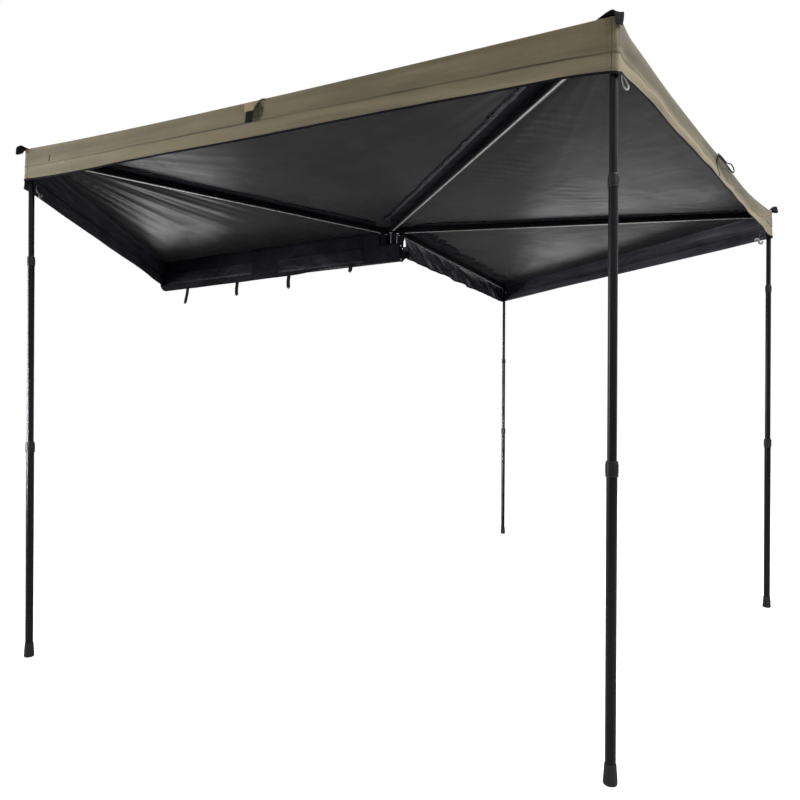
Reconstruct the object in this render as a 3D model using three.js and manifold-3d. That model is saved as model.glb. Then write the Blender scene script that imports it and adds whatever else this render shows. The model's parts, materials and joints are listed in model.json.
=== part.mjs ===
// A 270 degree vehicle side awning, opened out and standing on its four telescopic poles.
// Millimetres, +Z up. The rail runs along -X beside the vehicle and the last arm runs along +Y.
// The origin is the seat of the rear rack bracket, where it lies on the roof rack's bar.

import * as THREE from 'three';
import { mergeVertices } from 'three/addons/utils/BufferGeometryUtils.js';
import Module from 'manifold-3d';

const wasm = await Module();
wasm.setup();

// Heights above the ground
const hemHeight = 2100;
const valanceDrop = 136;
const sideValanceExtra = 32;
const bagDrop = 74;

// The fan of arms: the angle from each arm to the one before it, and hub pin to pole axis
const armDegreesB = 65.5;
const armDegreesC = 70.5;
const armDegreesD = 62;
const armDegreesE = 72;
const reachB = 1950;
const reachC = 2228;
const reachD = 2132;
const reachE = 2015;
const railReach = 1990;
const cornerMargin = 20;

// Clearances
const fit = 0.3;
const slideFit = 0.4;
const overrun = 1;

// Arms
const armWidth = 25;
const armHeight = 32;
const armWall = 2;
const spigotLength = 40;

// Knuckles, each a link from its own pin to the pin of the next arm
const knucklePitch = 45;
const eyeRadius = 15;
const earThickness = 8;
const knuckleBlockStart = 18;
const knuckleBlockLength = 28;
const forkWebWidth = 12;
const forkWebReach = 28;
const forkGap = 2;
const hubPinRadius = 5;
const hubPinHeadRadius = 9;
const hubPinHeadHeight = 3;

// Arm tips and the poles' pivots
const tipLength = 30;
const tipOverhang = 9;
const tongueThickness = 10;
const tongueRadius = 10;
const polePinRadius = 4;
const polePinInset = 0.8;
const stowGap = 7.5;
const headRise = 8;
const headLength = 40;
const slotDepth = 14;

// Telescopic poles
const topTubeRadius = 12;
const midTubeRadius = 14;
const lowTubeRadius = 16;
const tubeWall = 1.6;
const topTubeLength = 960;
const midTubeLength = 960;
const lowTubeDrop = 1245;
const midTubeDropB = 421;
const midTubeDropC = 397;
const midTubeDropD = 372;
const midTubeDropE = 614;
const upperCollarRadius = 16;
const upperCollarGrip = 23;
const upperCollarLip = 17;
const lowerCollarRadius = 19;
const lowerCollarGrip = 26;
const lowerCollarLip = 21;
const collarBevel = 1.2;
const footRadius = 21;
const footTopRadius = 17.6;
const footHeight = 62;
const footFloor = 12;
const footTaperStart = 16;
const footBevel = 3;

// Back rail
const railSetback = 26;
const railDepth = 30;
const railHeight = 110;
const railWall = 3;
const railPastHub = 75;
const railTopBelowArms = 57.7;
const slotMouth = 9;
const slotWidth = 18;
const slotInnerDepth = 7;

// Hub bracket on the rail
const postWidth = 40;
const postDepth = 22;
const postNearHub = 20;
const flangeLength = 110;
const flangeThickness = 6;
const flangeInset = 1;

// End plate and its bolts
const endPlateThickness = 4;
const endBoltRadius = 7;
const endBoltHeadHeight = 5;
const endBoltInset = 13;

// Rack brackets
const bracketWidth = 60;
const bracketThickness = 5;
const bracketLeafHeight = 84;
const bracketDepth = 90;
const bracketRise = 10;
const bracketSlotWidth = 9;
const bracketSlotLength = 38;
const bracketSlotSpacing = 30;
const rearBracketPlace = 130;
const frontBracketInset = 260;
const gussetThickness = 4;
const gussetSize = 34;

// Fabric
const fabricThickness = 2;
const seamGap = 0.3;
const panelSag = 46;
const edgeSag = 9;
const seatMargin = 12;
const kneeReach = 62;
const hemRipple = 5;
const skirtOffset = 28;
const skirtRipple = 7;
const skirtStart = 72;
const bagThickness = 2.4;
const bagEndGap = 3;
const bagCornerRadius = 55;
const bagHubGap = 66;
const bagPastHub = 60;
const strapWidth = 25;
const strapLength = 100;

// Webbing tabs on the corners
const tabWidth = 44;
const tabLength = 62;
const tabRise = 34;
const tabThickness = 3;
const tabBase = 26;

// Shares and counts
const strapLengthShares = [0.5, 0.85, 0.9, 1.1];
const strapPlaceShares = [0.134, 0.378, 0.623, 0.867];
const hubShare = 0.9;
const seatShareMost = 0.45;
const ripplePhaseShares = [0, 0.21, 0.47, 0.68];
const hemRippleCount = 4.5;
const skirtRippleCount = 11;
const tubeSides = 24;
const pinSides = 16;
const arcSteps = 6;
const panelColumns = 22;
const panelRows = 7;
const valanceRows = 3;
const skirtColumns = 66;
const skirtRows = 4;
const boltSides = 6;

// Heights that follow from the sizes above
const canopyUnder = hemHeight + valanceDrop;
const armTop = canopyUnder - fit;
const armBottom = armTop - armHeight;
const pivotHeight = armBottom - footRadius - stowGap;
const lowTubeTop = pivotHeight - lowTubeDrop;
const railTop = armBottom - railTopBelowArms;
const railBottom = railTop - railHeight;
const bagBottom = hemHeight - bagDrop;
const railBack = railSetback + railDepth;
const canopyEdge = railSetback - fit;
const railMiddle = (railTop + railBottom) / 2;
const seatHeight = railMiddle - bracketRise;

const material = (color, roughness, metalness) =>
  new THREE.MeshStandardMaterial({ color, roughness, metalness });

const blackAluminium = material(0x16181b, 0.4, 0.6);
const castBlack = material(0x1b1c1f, 0.55, 0.35);
const blackSteel = material(0x1d1e20, 0.5, 0.5);
const zincSteel = material(0x9a9da0, 0.35, 0.9);
const blackNylon = material(0x1a1a1b, 0.6, 0);
const blackRubber = material(0x161616, 0.85, 0);
const khakiCanvas = material(0x857b62, 0.9, 0);
const blackFabric = material(0x1c1d22, 0.75, 0);
const blackWebbing = material(0x101012, 0.9, 0);

// Booleans

function toSolid(geometry) {
  const plain = geometry.clone();
  plain.deleteAttribute('normal');
  plain.deleteAttribute('uv');
  const welded = mergeVertices(plain);
  return new wasm.Manifold(new wasm.Mesh({
    numProp: 3,
    vertProperties: new Float32Array(welded.attributes.position.array),
    triVerts: new Uint32Array(welded.index.array),
  }));
}

function toGeometry(solid) {
  const mesh = solid.getMesh();
  const geometry = new THREE.BufferGeometry();
  geometry.setAttribute('position', new THREE.BufferAttribute(mesh.vertProperties, 3));
  geometry.setIndex(new THREE.BufferAttribute(mesh.triVerts, 1));
  geometry.computeVertexNormals();
  return geometry;
}

function shaped(added, removed = []) {
  let solid = toSolid(added[0]);
  for (const geometry of added.slice(1)) {
    solid = solid.add(toSolid(geometry));
  }
  for (const geometry of removed) {
    solid = solid.subtract(toSolid(geometry));
  }
  return toGeometry(solid);
}

// Basic solids

function box(x, y, z) {
  const geometry = new THREE.BoxGeometry(x[1] - x[0], y[1] - y[0], z[1] - z[0]);
  return geometry.translate((x[0] + x[1]) / 2, (y[0] + y[1]) / 2, (z[0] + z[1]) / 2);
}

function outline(points) {
  return new THREE.Shape(points.map(([x, y]) => new THREE.Vector2(x, y)));
}

function prism(shape, depth) {
  return new THREE.ExtrudeGeometry(shape, {
    depth,
    bevelEnabled: false,
    curveSegments: arcSteps,
  });
}

// An outline in Y and Z, run along +X
function alongX(shape, length) {
  const basis = new THREE.Matrix4().makeBasis(
    new THREE.Vector3(0, 1, 0),
    new THREE.Vector3(0, 0, 1),
    new THREE.Vector3(1, 0, 0),
  );
  return prism(shape, length).applyMatrix4(basis);
}

// An outline in X and Z, run along +Y
function alongY(shape, length) {
  return prism(shape, length).rotateX(Math.PI / 2).translate(0, length, 0);
}

// A ring or a solid turned round +Z from a profile of radius and height
function turned(profile, sides) {
  const points = profile.map(([radius, height]) => new THREE.Vector2(radius, height));
  return new THREE.LatheGeometry(points, sides).rotateX(Math.PI / 2);
}

function rod(radius, z, sides) {
  const geometry = new THREE.CylinderGeometry(radius, radius, z[1] - z[0], sides);
  return geometry.rotateX(Math.PI / 2).translate(0, 0, (z[0] + z[1]) / 2);
}

function crossRod(radius, length, place, height) {
  const geometry = new THREE.CylinderGeometry(radius, radius, length, pinSides);
  return geometry.translate(place, 0, height);
}

// A closed sheet between two matching grids of points
function sheet(innerGrid, outerGrid) {
  const rows = innerGrid.length;
  const columns = innerGrid[0].length;
  const points = [...innerGrid.flat(), ...outerGrid.flat()];
  const faces = [];
  const inner = (row, column) => row * columns + column;
  const outer = (row, column) => rows * columns + inner(row, column);
  const quad = (a, b, c, d) => faces.push(a, b, c, a, c, d);
  for (let row = 0; row + 1 < rows; row++) {
    for (let column = 0; column + 1 < columns; column++) {
      const [r, c] = [row + 1, column + 1];
      quad(outer(row, column), outer(r, column), outer(r, c), outer(row, c));
      quad(inner(row, column), inner(row, c), inner(r, c), inner(r, column));
    }
    const last = columns - 1;
    quad(inner(row, 0), inner(row + 1, 0), outer(row + 1, 0), outer(row, 0));
    quad(inner(row + 1, last), inner(row, last), outer(row, last), outer(row + 1, last));
  }
  for (let column = 0; column + 1 < columns; column++) {
    const last = rows - 1;
    quad(inner(0, column + 1), inner(0, column), outer(0, column), outer(0, column + 1));
    quad(inner(last, column), inner(last, column + 1), outer(last, column + 1), outer(last, column));
  }
  const geometry = new THREE.BufferGeometry().setFromPoints(points);
  geometry.setIndex(faces);
  geometry.computeVertexNormals();
  return geometry;
}

function piece(name, geometry, finish) {
  const mesh = new THREE.Mesh(geometry, finish);
  mesh.name = name;
  return mesh;
}

// Layout of the fan

const turn = (angle) => new THREE.Vector2(Math.cos(angle), Math.sin(angle));
const square = (angle) => turn(angle + Math.PI / 2);
const railAngle = Math.PI;

function fan() {
  const rows = [
    { name: 'b', opening: armDegreesB, reach: reachB, midTop: pivotHeight - midTubeDropB },
    { name: 'c', opening: armDegreesC, reach: reachC, midTop: pivotHeight - midTubeDropC },
    { name: 'd', opening: armDegreesD, reach: reachD, midTop: pivotHeight - midTubeDropD },
    { name: 'e', opening: armDegreesE, reach: reachE, midTop: pivotHeight - midTubeDropE },
  ];
  let angle = railAngle;
  let pin = new THREE.Vector2();
  for (const row of rows) {
    angle += THREE.MathUtils.degToRad(row.opening);
    row.angle = angle;
    row.pin = pin.clone();
    row.corner = pin.clone().addScaledVector(turn(angle), row.reach + cornerMargin);
    pin = pin.clone().addScaledVector(square(angle), knucklePitch);
  }
  return rows;
}

const arms = fan();
const hubCentre = arms
  .reduce((sum, arm) => sum.add(arm.pin), new THREE.Vector2())
  .divideScalar(arms.length);

// Arms, knuckles and hub pins, each in its arm's frame: +X along the arm, the pin at zero

function eyeShape(radius, x, y) {
  const shape = new THREE.Shape();
  shape.absarc(x, y, radius, 0, Math.PI * 2);
  return shape;
}

function slab(shape, z) {
  return prism(shape, z[1] - z[0]).translate(0, 0, z[0]);
}

function forkParts() {
  const parts = [];
  const removed = [];
  const webEnd = knuckleBlockStart + forkWebWidth;
  const columnStart = eyeRadius + forkGap;
  const lower = [armBottom, armBottom + earThickness];
  const upper = [armTop - earThickness, armTop];
  parts.push(box([knuckleBlockStart, webEnd], [0, forkWebReach], [armBottom, armTop]));
  for (const level of [lower, upper]) {
    parts.push(slab(eyeShape(eyeRadius, 0, knucklePitch), level));
    parts.push(box([-eyeRadius, eyeRadius], [columnStart, knucklePitch], level));
    parts.push(box([0, webEnd], [columnStart, forkWebReach], level));
  }
  const bore = rod(hubPinRadius + fit, [armBottom - overrun, armTop + overrun], pinSides);
  removed.push(bore.translate(0, knucklePitch, 0));
  return { parts, removed };
}

function spigot(x) {
  const half = armWidth / 2 - armWall - fit;
  const inset = armWall + fit;
  return box(x, [-half, half], [armBottom + inset, armTop - inset]);
}

function knuckle(hasFork) {
  const half = armWidth / 2;
  const tongue = [armBottom + earThickness + fit, armTop - earThickness - fit];
  const blockEnd = knuckleBlockStart + knuckleBlockLength;
  const parts = [
    box([knuckleBlockStart, blockEnd], [-half, half], [armBottom, armTop]),
    slab(eyeShape(eyeRadius, 0, 0), tongue),
    box([0, knuckleBlockStart + overrun], [-half, half], tongue),
    spigot([blockEnd - overrun, blockEnd + spigotLength]),
  ];
  const removed = [rod(hubPinRadius + fit, [armBottom, armTop], pinSides)];
  if (hasFork) {
    const fork = forkParts();
    parts.push(...fork.parts);
    removed.push(...fork.removed);
  }
  return shaped(parts, removed);
}

function hubPin() {
  const head = armBottom - fit;
  return turned([
    [0, head - hubPinHeadHeight],
    [hubPinHeadRadius, head - hubPinHeadHeight],
    [hubPinHeadRadius, head],
    [hubPinRadius, head],
    [hubPinRadius, armTop],
    [0, armTop],
  ], pinSides);
}

function armTube(reach) {
  const half = armWidth / 2;
  const start = knuckleBlockStart + knuckleBlockLength + fit;
  const end = reach - tipLength - fit;
  const shape = outline([[-half, armBottom], [half, armBottom], [half, armTop], [-half, armTop]]);
  const inner = half - armWall;
  const [low, high] = [armBottom + armWall, armTop - armWall];
  shape.holes.push(outline([[-inner, low], [-inner, high], [inner, high], [inner, low]]));
  return alongX(shape, end - start).translate(start, 0, 0);
}

function tipBracket(reach) {
  const half = armWidth / 2;
  const tongue = tongueThickness / 2;
  const cheek = [reach - tongueRadius, reach + tongueRadius];
  return shaped([
    box([reach - tipLength, reach + tipOverhang], [-half, half], [armBottom, armTop]),
    spigot([reach - tipLength - spigotLength, reach - tipLength + overrun]),
    box(cheek, [-tongue, tongue], [pivotHeight, armBottom + overrun]),
    crossRod(tongueRadius, tongueThickness, reach, pivotHeight),
  ], [
    crossRod(polePinRadius + fit, tongueThickness + overrun, reach, pivotHeight),
  ]);
}

// Poles, each about its own upright axis

function topTube() {
  const top = pivotHeight + headRise;
  const plug = pivotHeight - headLength;
  const bottom = top - topTubeLength;
  const inner = topTubeRadius - tubeWall;
  const body = turned([
    [0, plug],
    [inner, plug],
    [inner, bottom],
    [topTubeRadius, bottom],
    [topTubeRadius, top],
    [0, top],
  ], tubeSides);
  const slot = tongueThickness / 2 + fit;
  const across = topTubeRadius + overrun;
  return shaped([body], [
    box([-across, across], [-slot, slot], [pivotHeight - slotDepth, top + overrun]),
    crossRod(polePinRadius + fit, (topTubeRadius + overrun) * 2, 0, pivotHeight),
  ]);
}

function polePin() {
  return crossRod(polePinRadius, (topTubeRadius - polePinInset) * 2, 0, pivotHeight);
}

function ring(outer, inner, z) {
  return turned([[inner, z[0]], [outer, z[0]], [outer, z[1]], [inner, z[1]], [inner, z[0]]], tubeSides);
}

function collar(outerTube, innerTube, radius, grip, lip) {
  const [wide, narrow] = [outerTube + slideFit, innerTube + slideFit];
  const bevelled = radius - collarBevel;
  return turned([
    [wide, -grip],
    [bevelled, -grip],
    [radius, -grip + collarBevel],
    [radius, lip - collarBevel],
    [bevelled, lip],
    [narrow, lip],
    [narrow, fit],
    [wide, fit],
    [wide, -grip],
  ], tubeSides);
}

function foot() {
  const socket = lowTubeRadius + fit;
  return turned([
    [0, 0],
    [footRadius - footBevel, 0],
    [footRadius, footBevel],
    [footRadius, footTaperStart],
    [footTopRadius, footHeight],
    [socket, footHeight],
    [socket, footFloor],
    [0, footFloor],
  ], tubeSides);
}

function pole(arm) {
  const group = new THREE.Group();
  const place = new THREE.Group();
  place.position.set(arm.reach, 0, 0);
  const named = (part) => `pole_${arm.name}_${part}`;
  const upper = collar(midTubeRadius, topTubeRadius, upperCollarRadius, upperCollarGrip, upperCollarLip);
  const lower = collar(lowTubeRadius, midTubeRadius, lowerCollarRadius, lowerCollarGrip, lowerCollarLip);
  const midTube = [arm.midTop - midTubeLength, arm.midTop];
  const lowTube = [footFloor + fit, lowTubeTop];
  place.add(
    piece(named('pivot_pin'), polePin(), zincSteel),
    piece(named('top_tube'), topTube(), blackAluminium),
    piece(named('middle_tube'), ring(midTubeRadius, midTubeRadius - tubeWall, midTube), blackAluminium),
    piece(named('lower_tube'), ring(lowTubeRadius, lowTubeRadius - tubeWall, lowTube), blackAluminium),
    piece(named('upper_collar'), upper.translate(0, 0, arm.midTop), blackNylon),
    piece(named('lower_collar'), lower.translate(0, 0, lowTubeTop), blackNylon),
    piece(named('foot'), foot(), blackRubber),
  );
  group.add(place);
  return group;
}

function armAssembly(arm, index) {
  const group = new THREE.Group();
  group.position.set(arm.pin.x, arm.pin.y, 0);
  group.rotation.z = arm.angle;
  group.add(
    piece(`hub_pin_${arm.name}`, hubPin(), zincSteel),
    piece(`knuckle_${arm.name}`, knuckle(index + 1 < arms.length), castBlack),
    piece(`arm_${arm.name}`, armTube(arm.reach), blackAluminium),
    piece(`arm_tip_${arm.name}`, tipBracket(arm.reach), castBlack),
    pole(arm),
  );
  return group;
}

// Rail, hub bracket and rack brackets, beside the vehicle

function rail() {
  const [left, right] = [railSetback, railBack];
  const lip = right - railWall;
  const bottomOfSlot = lip - slotInnerDepth;
  const [mouth, wide] = [slotMouth / 2, slotWidth / 2];
  const shape = outline([
    [left, railBottom],
    [right, railBottom],
    [right, railMiddle - mouth],
    [lip, railMiddle - mouth],
    [lip, railMiddle - wide],
    [bottomOfSlot, railMiddle - wide],
    [bottomOfSlot, railMiddle + wide],
    [lip, railMiddle + wide],
    [lip, railMiddle + mouth],
    [right, railMiddle + mouth],
    [right, railTop],
    [left, railTop],
  ]);
  const chamber = (low, high) => outline([
    [left + railWall, low],
    [left + railWall, high],
    [right - railWall, high],
    [right - railWall, low],
  ]);
  shape.holes.push(chamber(railBottom + railWall, railMiddle - wide - railWall));
  shape.holes.push(chamber(railMiddle + wide + railWall, railTop - railWall));
  return alongX(shape, railReach - bagEndGap + railPastHub).translate(bagEndGap - railReach, 0, 0);
}

// The fork of the rail's own link, turned to face the first arm, on a post with a flange
function hubBracket() {
  const fork = forkParts();
  const toRail = (geometry) => geometry.rotateZ(railAngle).translate(0, knucklePitch, 0);
  const middle = (railSetback + railBack) / 2;
  const post = [-postNearHub - postWidth, -postNearHub];
  const postY = [middle - postDepth / 2, middle + postDepth / 2];
  const base = railTop + fit;
  const flangeMiddle = (post[0] + post[1]) / 2;
  const flangeY = [railSetback + flangeInset, railBack - flangeInset];
  const webY = [knucklePitch - forkWebReach, postY[1]];
  const flangeX = [flangeMiddle - flangeLength / 2, flangeMiddle + flangeLength / 2];
  return shaped([
    ...fork.parts.map(toRail),
    box([post[0], -knuckleBlockStart], webY, [armBottom, armTop]),
    box(post, postY, [base, armTop]),
    box(flangeX, flangeY, [base, base + flangeThickness]),
  ], fork.removed.map(toRail));
}

function endPlate() {
  const start = railPastHub + fit;
  return box([start, start + endPlateThickness], [railSetback, railBack], [railBottom, railTop]);
}

function endBolt(height) {
  const head = rod(endBoltRadius, [0, endBoltHeadHeight], boltSides).rotateY(Math.PI / 2);
  const place = railPastHub + fit + endPlateThickness + fit;
  return head.translate(place, (railSetback + railBack) / 2, height);
}

// An L of plate: one leaf on the rail's back, the shelf on the rack's bar, and a gusset
function rackBracket(place) {
  const leaf = [railBack + fit, railBack + fit + bracketThickness];
  const shelf = [railBack + fit, railBack + fit + bracketDepth];
  const shelfZ = [seatHeight, seatHeight + bracketThickness];
  const leafZ = [shelfZ[1] - overrun, seatHeight + bracketLeafHeight / 2];
  const across = [-bracketWidth / 2, bracketWidth / 2];
  const gussetFoot = [leaf[1] - overrun, leaf[1] + gussetSize];
  const gusset = outline([
    [gussetFoot[0], shelfZ[1] - overrun],
    [gussetFoot[1], shelfZ[1] - overrun],
    [gussetFoot[0], shelfZ[1] + gussetSize],
  ]);
  const slotMiddle = (leaf[1] + gussetSize + shelf[1]) / 2;
  const slotY = [slotMiddle - bracketSlotLength / 2, slotMiddle + bracketSlotLength / 2];
  const slots = [-bracketSlotSpacing / 2, bracketSlotSpacing / 2].map((middle) =>
    box([middle - bracketSlotWidth / 2, middle + bracketSlotWidth / 2], slotY, [
      shelfZ[0] - overrun,
      shelfZ[1] + overrun,
    ]));
  return shaped([
    box(across, shelf, shelfZ),
    box(across, leaf, leafZ),
    alongX(gusset, gussetThickness).translate(-gussetThickness / 2, 0, 0),
  ], slots).translate(-place, 0, 0);
}

// Fabric

const lerp = THREE.MathUtils.lerp;
const bow = (share) => 4 * share * (1 - share);

// One panel: a fan from the hub to its outer edge, and the valance that hangs from the edge.
// It lies flat on the arms beside its seams, and sags between them.
function canopyPanel(index) {
  const isFirst = index === 0;
  const isLast = index + 1 === arms.length;
  const start = isFirst ? new THREE.Vector2(-railReach, canopyEdge) : arms[index - 1].corner;
  const end = isLast ? skirtCorner() : arms[index].corner;
  const startKnee = isFirst ? new THREE.Vector2(-kneeReach, canopyEdge) : knee(arms[index - 1], 0);
  const endKnee = knee(arms[index], isLast ? skirtOffset : 0);
  const edge = end.clone().sub(start).normalize();
  const outward = new THREE.Vector2(edge.y, -edge.x);
  const shift = edge.clone().multiplyScalar(seamGap);
  const seat = armWidth / 2 + seatMargin;
  const seats = [isFirst ? 0 : seat, isLast ? seat + skirtOffset : seat];
  const drop = valanceDrop + (isFirst ? sideValanceExtra : 0);
  const phase = ripplePhaseShares[index] * Math.PI * 2;
  const innerGrid = [];
  const outerGrid = [];

  const width = (out) => lerp(startKnee.distanceTo(endKnee), start.distanceTo(end), out);
  const seatShare = (side, out) => Math.min(seatShareMost, seats[side] / width(out));
  const spread = (out) => {
    const most = panelColumns - 2;
    const between = [...Array(most + 1).keys()].map((column) => column / most);
    const [low, high] = [seatShare(0, out), 1 - seatShare(1, out)];
    return [0, ...between.map((share) => lerp(low, high, share)), 1].slice(isFirst ? 1 : 0);
  };
  const plan = (across, out) => {
    const outer = start.clone().lerp(end, across);
    const knees = startKnee.clone().lerp(endKnee, across);
    const at = out < 0 ? hubCentre.clone().lerp(knees, 1 + out) : knees.lerp(outer, out);
    return at.addScaledVector(shift, bothEnds(across));
  };
  const underside = (across, out) => {
    const [low, high] = [seatShare(0, out), 1 - seatShare(1, out)];
    const free = THREE.MathUtils.clamp((across - low) / (high - low), 0, 1);
    return canopyUnder - bow(free) * (panelSag * bow(out) * out + edgeSag * out ** 2);
  };
  const flatAt = (across, out, over, height) => {
    const at = plan(across, out).addScaledVector(outward, over);
    return new THREE.Vector3(at.x, at.y, height);
  };

  innerGrid.push(spread(0).map((across) => flatAt(across, -hubShare, 0, canopyUnder)));
  outerGrid.push(spread(0).map((across) => flatAt(across, -hubShare, 0, canopyUnder + fabricThickness)));
  for (let row = 0; row <= panelRows; row++) {
    const out = row / panelRows;
    const over = row === panelRows ? fabricThickness : 0;
    const under = (across) => underside(across, out);
    innerGrid.push(spread(out).map((across) => flatAt(across, out, 0, under(across))));
    outerGrid.push(spread(out).map((across) =>
      flatAt(across, out, over, under(across) + fabricThickness)));
  }
  for (let row = 1; row <= valanceRows; row++) {
    const down = row / valanceRows;
    const hang = (across, over) => {
      const wave = Math.sin(across * hemRippleCount * Math.PI * 2 + phase);
      const push = hemRipple * (1 + wave) / 2 * bow(across) * down;
      const height = lerp(underside(across, 1), canopyUnder - drop, down);
      return flatAt(across, 1, push + over, height);
    };
    innerGrid.push(spread(1).map((across) => hang(across, 0)));
    outerGrid.push(spread(1).map((across) => hang(across, fabricThickness)));
  }
  return sheet(innerGrid, outerGrid);
}

// Moves a seam's two sides apart: forwards at a panel's start, back at its end
function bothEnds(across) {
  return (1 - 2 * across) / 2;
}

// Where a seam leaves the hub and starts to follow its arm
function knee(arm, aside) {
  return arm.pin.clone()
    .addScaledVector(turn(arm.angle), kneeReach)
    .addScaledVector(square(arm.angle), aside);
}

const lastArm = arms[arms.length - 1];

// Where the last panel's outer edge, carried on past the arm, meets the skirt
function skirtCorner() {
  const before = arms[arms.length - 2].corner;
  const edge = lastArm.corner.clone().sub(before).normalize();
  const aside = edge.dot(square(lastArm.angle));
  return lastArm.corner.clone().addScaledVector(edge, skirtOffset / aside);
}

// The skirt that hangs along the last arm, in its frame
function rearSkirt() {
  const end = skirtCorner().sub(lastArm.pin).dot(turn(lastArm.angle)) - 3 * fabricThickness;
  const top = canopyUnder - fit;
  const innerGrid = [];
  const outerGrid = [];
  for (let row = 0; row <= skirtRows; row++) {
    const down = row / skirtRows;
    const hang = (column, over) => {
      const across = column / skirtColumns;
      const slow = Math.sin(across * skirtRippleCount * Math.PI * 2);
      const quick = Math.sin(across * skirtRippleCount * Math.PI * 3 + down * Math.PI);
      const push = skirtRipple * (2 + slow + quick) / 4 * bow(across) * down;
      const aside = skirtOffset - 2 * fabricThickness + push + over;
      return new THREE.Vector3(lerp(skirtStart, end, across), aside, lerp(top, hemHeight, down));
    };
    const columns = [...Array(skirtColumns + 1).keys()];
    innerGrid.push(columns.map((column) => hang(column, 0)));
    outerGrid.push(columns.map((column) => hang(column, fabricThickness)));
  }
  return sheet(outerGrid, innerGrid);
}

// The open travel bag: a long flap in front of the rail, with its tie straps hanging
function travelBag() {
  const far = bagEndGap - railReach;
  const round = bagCornerRadius;
  const top = canopyUnder - fit;
  const shape = new THREE.Shape();
  shape.moveTo(bagPastHub, bagBottom);
  shape.lineTo(bagPastHub, railTop);
  shape.lineTo(-bagHubGap, railTop);
  shape.lineTo(-bagHubGap, top);
  shape.lineTo(far, top);
  shape.lineTo(far, bagBottom + round);
  shape.absarc(far + round, bagBottom + round, round, Math.PI, Math.PI * 3 / 2);
  const front = railSetback - fit - bagThickness;
  const straps = strapLengthShares.map((share, index) => {
    const middle = -railReach * strapPlaceShares[index];
    const across = [middle - strapWidth / 2, middle + strapWidth / 2];
    const down = [bagBottom - strapLength * share, bagBottom + overrun];
    return box(across, [front, front + bagThickness], down);
  });
  return shaped([alongY(shape, bagThickness).translate(0, front, 0), ...straps]);
}

// A webbing tab stitched on a corner, standing up and out, in its arm's frame
function cornerTab(reach) {
  const seat = canopyUnder + fabricThickness + fit;
  const start = reach + cornerMargin - tabBase;
  const tip = start + tabLength;
  const shape = outline([
    [start, seat],
    [reach + cornerMargin, seat],
    [tip, seat + tabRise - tabThickness],
    [tip - tabThickness, seat + tabRise],
    [reach + cornerMargin - tabThickness, seat + tabThickness],
    [start, seat + tabThickness],
  ]);
  return alongY(shape, tabWidth).translate(0, -tabWidth / 2, 0);
}

// Assembly

const awning = new THREE.Group();
awning.add(
  piece('back_rail', rail(), blackAluminium),
  piece('hub_bracket', hubBracket(), blackSteel),
  piece('rail_end_plate', endPlate(), blackSteel),
  piece('end_bolt_upper', endBolt(railTop - endBoltInset), zincSteel),
  piece('end_bolt_lower', endBolt(railBottom + endBoltInset), zincSteel),
  piece('rack_bracket_rear', rackBracket(rearBracketPlace), blackSteel),
  piece('rack_bracket_front', rackBracket(railReach - frontBracketInset), blackSteel),
  piece('travel_bag', travelBag(), blackFabric),
);
arms.forEach((arm, index) => {
  const group = armAssembly(arm, index);
  if (index + 1 < arms.length) {
    group.add(piece(`corner_tab_${arm.name}`, cornerTab(arm.reach), blackWebbing));
  } else {
    group.add(piece('rear_skirt', rearSkirt(), blackFabric));
  }
  awning.add(group);
  awning.add(piece(`canopy_panel_${index + 1}`, canopyPanel(index), khakiCanvas));
});
const seatMiddle = railBack + fit + bracketDepth / 2;
awning.position.set(rearBracketPlace, -seatMiddle, -seatHeight);

export default awning;
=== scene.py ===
"""A vehicle side awning of four swinging arms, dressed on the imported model."""

import json
import math

import bmesh
import bpy
from mathutils import Matrix, Vector, noise


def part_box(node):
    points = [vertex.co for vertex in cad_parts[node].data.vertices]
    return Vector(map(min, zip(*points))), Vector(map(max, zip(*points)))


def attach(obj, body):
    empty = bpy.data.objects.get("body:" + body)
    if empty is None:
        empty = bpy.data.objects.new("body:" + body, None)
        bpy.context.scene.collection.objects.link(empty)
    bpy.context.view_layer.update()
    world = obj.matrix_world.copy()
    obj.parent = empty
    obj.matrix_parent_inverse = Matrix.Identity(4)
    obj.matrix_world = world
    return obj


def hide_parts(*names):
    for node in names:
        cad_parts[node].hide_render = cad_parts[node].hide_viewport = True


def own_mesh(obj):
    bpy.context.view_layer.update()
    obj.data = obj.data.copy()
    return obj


bl_info = {
    "name": "Vehicle Side Awning",
    "version": (1, 0, 0),
    "blender": (4, 5, 0),
    "location": "3D View > Sidebar > Awning",
    "description": "Builds the cloth, arms, poles and rail of an opened side awning",
    "category": "Object",
}

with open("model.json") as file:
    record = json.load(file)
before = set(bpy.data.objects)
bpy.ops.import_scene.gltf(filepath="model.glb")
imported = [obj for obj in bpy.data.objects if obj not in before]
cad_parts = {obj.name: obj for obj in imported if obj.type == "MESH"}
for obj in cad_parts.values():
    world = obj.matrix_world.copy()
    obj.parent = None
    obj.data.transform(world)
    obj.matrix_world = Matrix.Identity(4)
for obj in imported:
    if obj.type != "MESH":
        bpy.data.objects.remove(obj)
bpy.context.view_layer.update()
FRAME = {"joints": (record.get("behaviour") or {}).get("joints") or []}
JOINTS = {joint["name"]: joint for joint in FRAME["joints"]}
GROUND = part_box("pole_b_foot")[0].z
MM = 0.001
UP = Vector((0, 0, 1))
FRONT = Vector((0, -1, 0))
TIP_OVER = Matrix.Rotation(math.pi / 2, 4, "X")


# Sizes and colours


def number(name, description, default, **more):
    return bpy.props.FloatProperty(name=name, description=description, default=default, **more)


def length(*words):
    return number(*words, unit="LENGTH", precision=4)


def colour(name, description, default):
    return bpy.props.FloatVectorProperty(
        name=name, description=description, default=default, subtype="COLOR",
        size=3, min=0, max=1,
    )


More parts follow.
